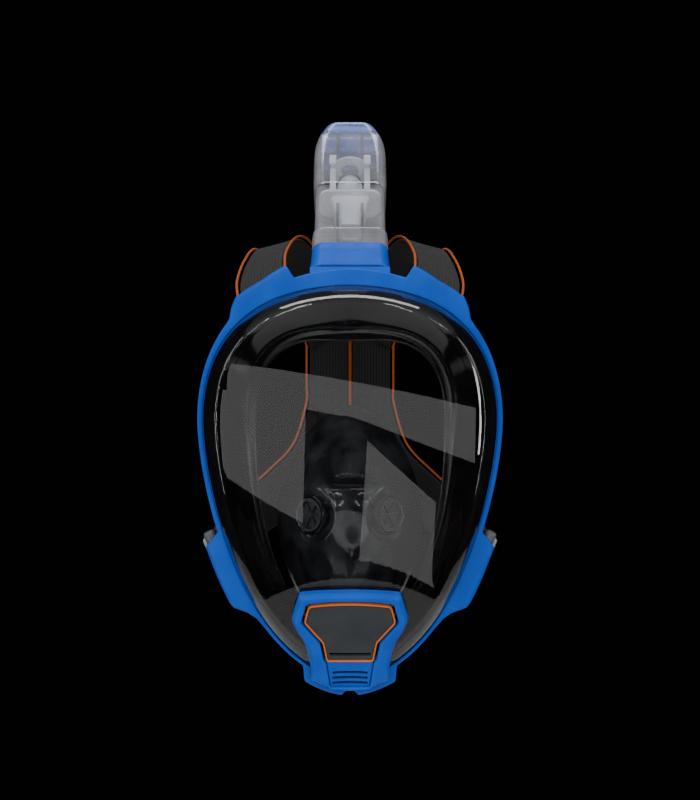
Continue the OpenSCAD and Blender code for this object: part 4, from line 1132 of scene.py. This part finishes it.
def ribbon(one, two, side, steps=110, cols=72):
    """A strap between two edge curves: a crowned lens in section with ribs along its length.
    Returns the surface and its lines, across and along, in millimetres."""
    t = np.linspace(0, 1, steps)
    p, q = spline(one, t), spline(two, t)
    along = np.gradient((p + q) / 2, axis=0)
    wide = q - p
    span = np.linalg.norm(wide, axis=1, keepdims=True)
    n = np.cross(wide, along)
    n /= np.linalg.norm(n, axis=1, keepdims=True)
    v = np.linspace(0, 1, cols)
    edge = np.clip(np.minimum(v, 1 - v) * span / 2.2, 0, 1)
    crown = 0.25 + 0.75 * quarter_round(edge)
    ribs = 0.16 * np.cos(2 * math.pi * v * span / RIB) * edge
    half = (STRAP_T / 2 - 0.16) * crown + ribs
    middle = p[:, None] + wide[:, None] * v[None, :, None]
    top = middle + n[:, None] * half[..., None]
    under = (middle - n[:, None] * half[..., None])[:, ::-1]
    far = distance_along((p + q) / 2)
    across = v[None] * span
    lines = points(np.concatenate([across, across[:, ::-1]], 1), far[:, None], 0)
    mirror = np.array([side, 1, 1])
    surface = capped(np.concatenate([top, under], 1) * mirror)
    return surface, np.concatenate([lines.reshape(-1, 3), lines[[0, -1], cols // 2]])


def make_straps():
    for side, name in SIDES:
        for part, one, two in (("upper", UPPER_OUTER, UPPER_INNER), ("lower", LOWER_LOWER, LOWER_UPPER)):
            surface, lines = ribbon(one, two, side)
            piece(f"strap_arm_{part}_{name}", [surface], "strap_textile",
                  [f"strap_{part}_{name}"], sharp=60, weave=[lines])


def make_back_panel():
    """The waisted panel behind the head, in two halves either side of the seam."""
    parts, weave = [], []
    u, t = np.linspace(0, 1, 60)[None, :], np.linspace(0, 1, 120)[:, None]
    z = -12 + t * PANEL_H
    width = np.interp(z, [-12, 44, 86, 104], [2.4, 30, 30, 4]) - 1.15
    x = 1.15 + u * width
    from_side = np.minimum(np.minimum(u, 1 - u) * width, np.minimum(t, 1 - t) * PANEL_H)
    roll = np.clip(from_side / 1.6, 0, 1)
    half = STRAP_T / 2 * (0.3 + 0.7 * quarter_round(roll)) - 0.1
    half = half + 0.1 * np.cos(2 * math.pi * x / RIB) * roll
    for side in (1, -1):
        front = points(side * x, BACK_Y + STRAP_T / 2 - half, z)
        back = points(side * x, BACK_Y + STRAP_T / 2 + half, z)
        parts.append(slab(front, back))
        lines = points(x, z, 0).reshape(-1, 3)
        weave += [lines, lines]
    piece("strap_panel_back", parts, "strap_textile", ["strap_back_panel"], sharp=60,
          weave=weave)


def corded(path, r, side=1):
    """A round piping along a path, with its own lines round and along."""
    sides = 12
    p = np.asarray(path) * np.array([side, 1, 1])
    surface = rod(p, r, sides)
    far = distance_along(p)
    turn = np.linspace(0, 2 * math.pi * r, sides, endpoint=False)
    lines = points(turn[None], far[:, None], 0).reshape(-1, 3)
    return surface, np.concatenate([lines, [[0, 0, 0], [0, far[-1], 0]]])


def piped(name, cords, replaced):
    piece(name, [c[0] for c in cords], "orange_trim", replaced, sharp=70,
          weave=[c[1] for c in cords], material=PIPING)


def make_piping():
    """Cords along the strap's outer edges and down the panel, along its inner edges, and up
    the panel's middle with a fine thread either side."""
    out = 1.6 + PIPING_R
    outer = np.asarray(UPPER_OUTER, float) + [out, 0, 0.6 * out]
    inner = np.asarray(UPPER_INNER[:5], float) + [-0.6 * out, 0, out]
    side_edge = np.array([[30 + out, 157, 85.9], [30 + out, 157, 58], [30.4 + out, 157, 44.6]])
    lower = np.asarray(LOWER_UPPER[1:5], float) + out * np.array([[0.9, 0, 0.7], [0.3, 0, 1], [0, 0, 1], [0, 0, 1]])
    edge = spline(np.concatenate([outer, side_edge, lower]), np.linspace(0, 1, 260))
    for side, name in SIDES:
        piped(f"piping_edge_outer_{name}", [corded(edge, PIPING_R, side)],
              [f"piping_outer_{name}", f"piping_side_{name}"])
    piped("piping_edge_inner", [corded(spline(inner, np.linspace(0, 1, 140)), PIPING_R, side)
                                for side in (1, -1)], ["piping_inner"])
    z = np.linspace(-10, 102, 90)
    threads = [corded(points(0 * z + x, BACK_Y - 0.1, z), 0.35) for x in (-0.7, 0.7)]
    piped("seam_cord", [corded(points(0 * z, BACK_Y + STRAP_T / 2, z), 1.0), *threads], ["strap_seam"])


# ---------- CAD nodes that keep their own shape ----------
def finish_nodes():
    slots = {row["node"]: row["material_slot"] for row in frame["record"]["subparts"]}
    for name, obj in NODES.items():
        obj.data.materials.clear()
        obj.data.materials.append(FINISH[slots[name]])
    for name in ("snorkel_base", "visor_latch", "latch_button"):
        weld = NODES[name].modifiers.new("weld", "WELD")
        weld.merge_threshold = 0.00002
        bevel = NODES[name].modifiers.new("soft_edges", "BEVEL")
        bevel.width, bevel.segments, bevel.limit_method = 0.0004, 3, "ANGLE"
        bevel.angle_limit = math.radians(50)


# ---------- Stage, light and camera ----------
def make_stage():
    """A pale floor below the mask in a dark room."""
    x, y = np.array([[-1400.0, 1400.0]]), np.array([[-800.0], [1400.0]])
    floor = linked("floor", [slab(points(x, y, -620.0), points(x, y, -625.0))])
    pale = Finish("pale_studio_floor")
    pale.set(Base_Color=pale.blend(pale.noise(3, 3), rgb(0.6, 0.6, 0.6), rgb(0.66, 0.66, 0.665)))
    pale.set(Roughness=pale.level(pale.noise(12), 0.6, 0.8))
    floor.data.materials.append(pale.material)
    world = bpy.data.worlds.new("dim_room")
    bpy.context.scene.world = world
    world.use_nodes = True
    world.node_tree.nodes["Background"].inputs["Color"].default_value = (0.001, 0.001, 0.001, 1)


def soft_box(name, at, aim, size, watts, roll=0.0, mirrored=True):
    """An area light of a width and height in metres, turned towards a point. A lamp that is
    not mirrored lights the surfaces but doesn't show in gloss."""
    lamp = bpy.data.lights.new(name, "AREA")
    lamp.shape, lamp.size, lamp.size_y, lamp.energy = "RECTANGLE", *size, watts
    obj = bpy.data.objects.new(name, lamp)
    bpy.context.scene.collection.objects.link(obj)
    obj.location = at
    facing = (Vector(aim) - Vector(at)).to_track_quat("-Z", "Y")
    obj.rotation_euler = (facing.to_matrix() @ Euler((0, 0, math.radians(roll))).to_matrix()).to_euler()
    obj.visible_glossy = mirrored
    return obj


def make_lights():
    """Even fill from the front; soft boxes above and at the sides for edge light; and low
    windows in front that the visor mirrors."""
    face = (0, 0, 0.02)
    soft_box("front_fill", (0, -1.9, 0.5), face, (1.6, 1.2), 26, 0, False)
    soft_box("back_fill", (0, 2.0, 0.8), face, (1.6, 1.2), 16, 0, False)
    soft_box("top_box", (0, 0.12, 1.3), (0, 0, 0), (1.3, 0.35), 9)
    soft_box("side_strip_left", (-1.1, -0.35, 0.25), face, (0.1, 1.0), 1.6)
    soft_box("side_strip_right", (1.1, -0.35, 0.25), face, (0.1, 1.0), 1.6)
    soft_box("middle_strip_left", (-0.86, -0.9, 0.42), face, (0.05, 1.0), 3)
    soft_box("middle_strip_right", (0.8, -0.95, 0.42), face, (0.04, 1.0), 2.2)
    soft_box("high_strip_left", (-0.5, -0.95, 0.95), face, (0.1, 0.7), 3.5)
    soft_box("high_strip_right", (0.42, -0.95, 0.95), face, (0.06, 0.7), 2)
    for name, x, z, size, watts, roll in (
        ("long_window", 0.015, 0.109, (2.32, 0.172), 1.85, -6.1),
        ("low_window_left", -0.8, -0.02, (0.86, 0.3), 1.2, -6.1),
        ("low_window_right", 0.4, -0.27, (0.62, 0.34), 0.95, -14),
    ):
        soft_box(name, (x, -1.5, z), (x, 0, z), size, watts, roll)


def make_camera():
    cam = bpy.data.cameras.new("camera")
    cam.sensor_width, cam.lens, cam.clip_start = 36.0, 61.2, 0.05
    obj = bpy.data.objects.new("camera", cam)
    bpy.context.scene.collection.objects.link(obj)
    obj.location = (0, -0.860, 0.047)
    obj.rotation_euler = (math.radians(90), 0, 0)
    bpy.context.scene.camera = obj


make_rim()
make_clamp_ring()
make_visor()
make_skirt()
make_nose_pocket()
make_bezel()
make_cover()
make_cover_trim()
make_louvres()
make_band()
make_collar()
make_tube()
make_head()
make_head_liner()
make_cap()
make_float_cage()
make_float()
make_clips()
make_straps()
make_back_panel()
make_piping()
finish_nodes()
make_stage()
make_lights()
make_camera()
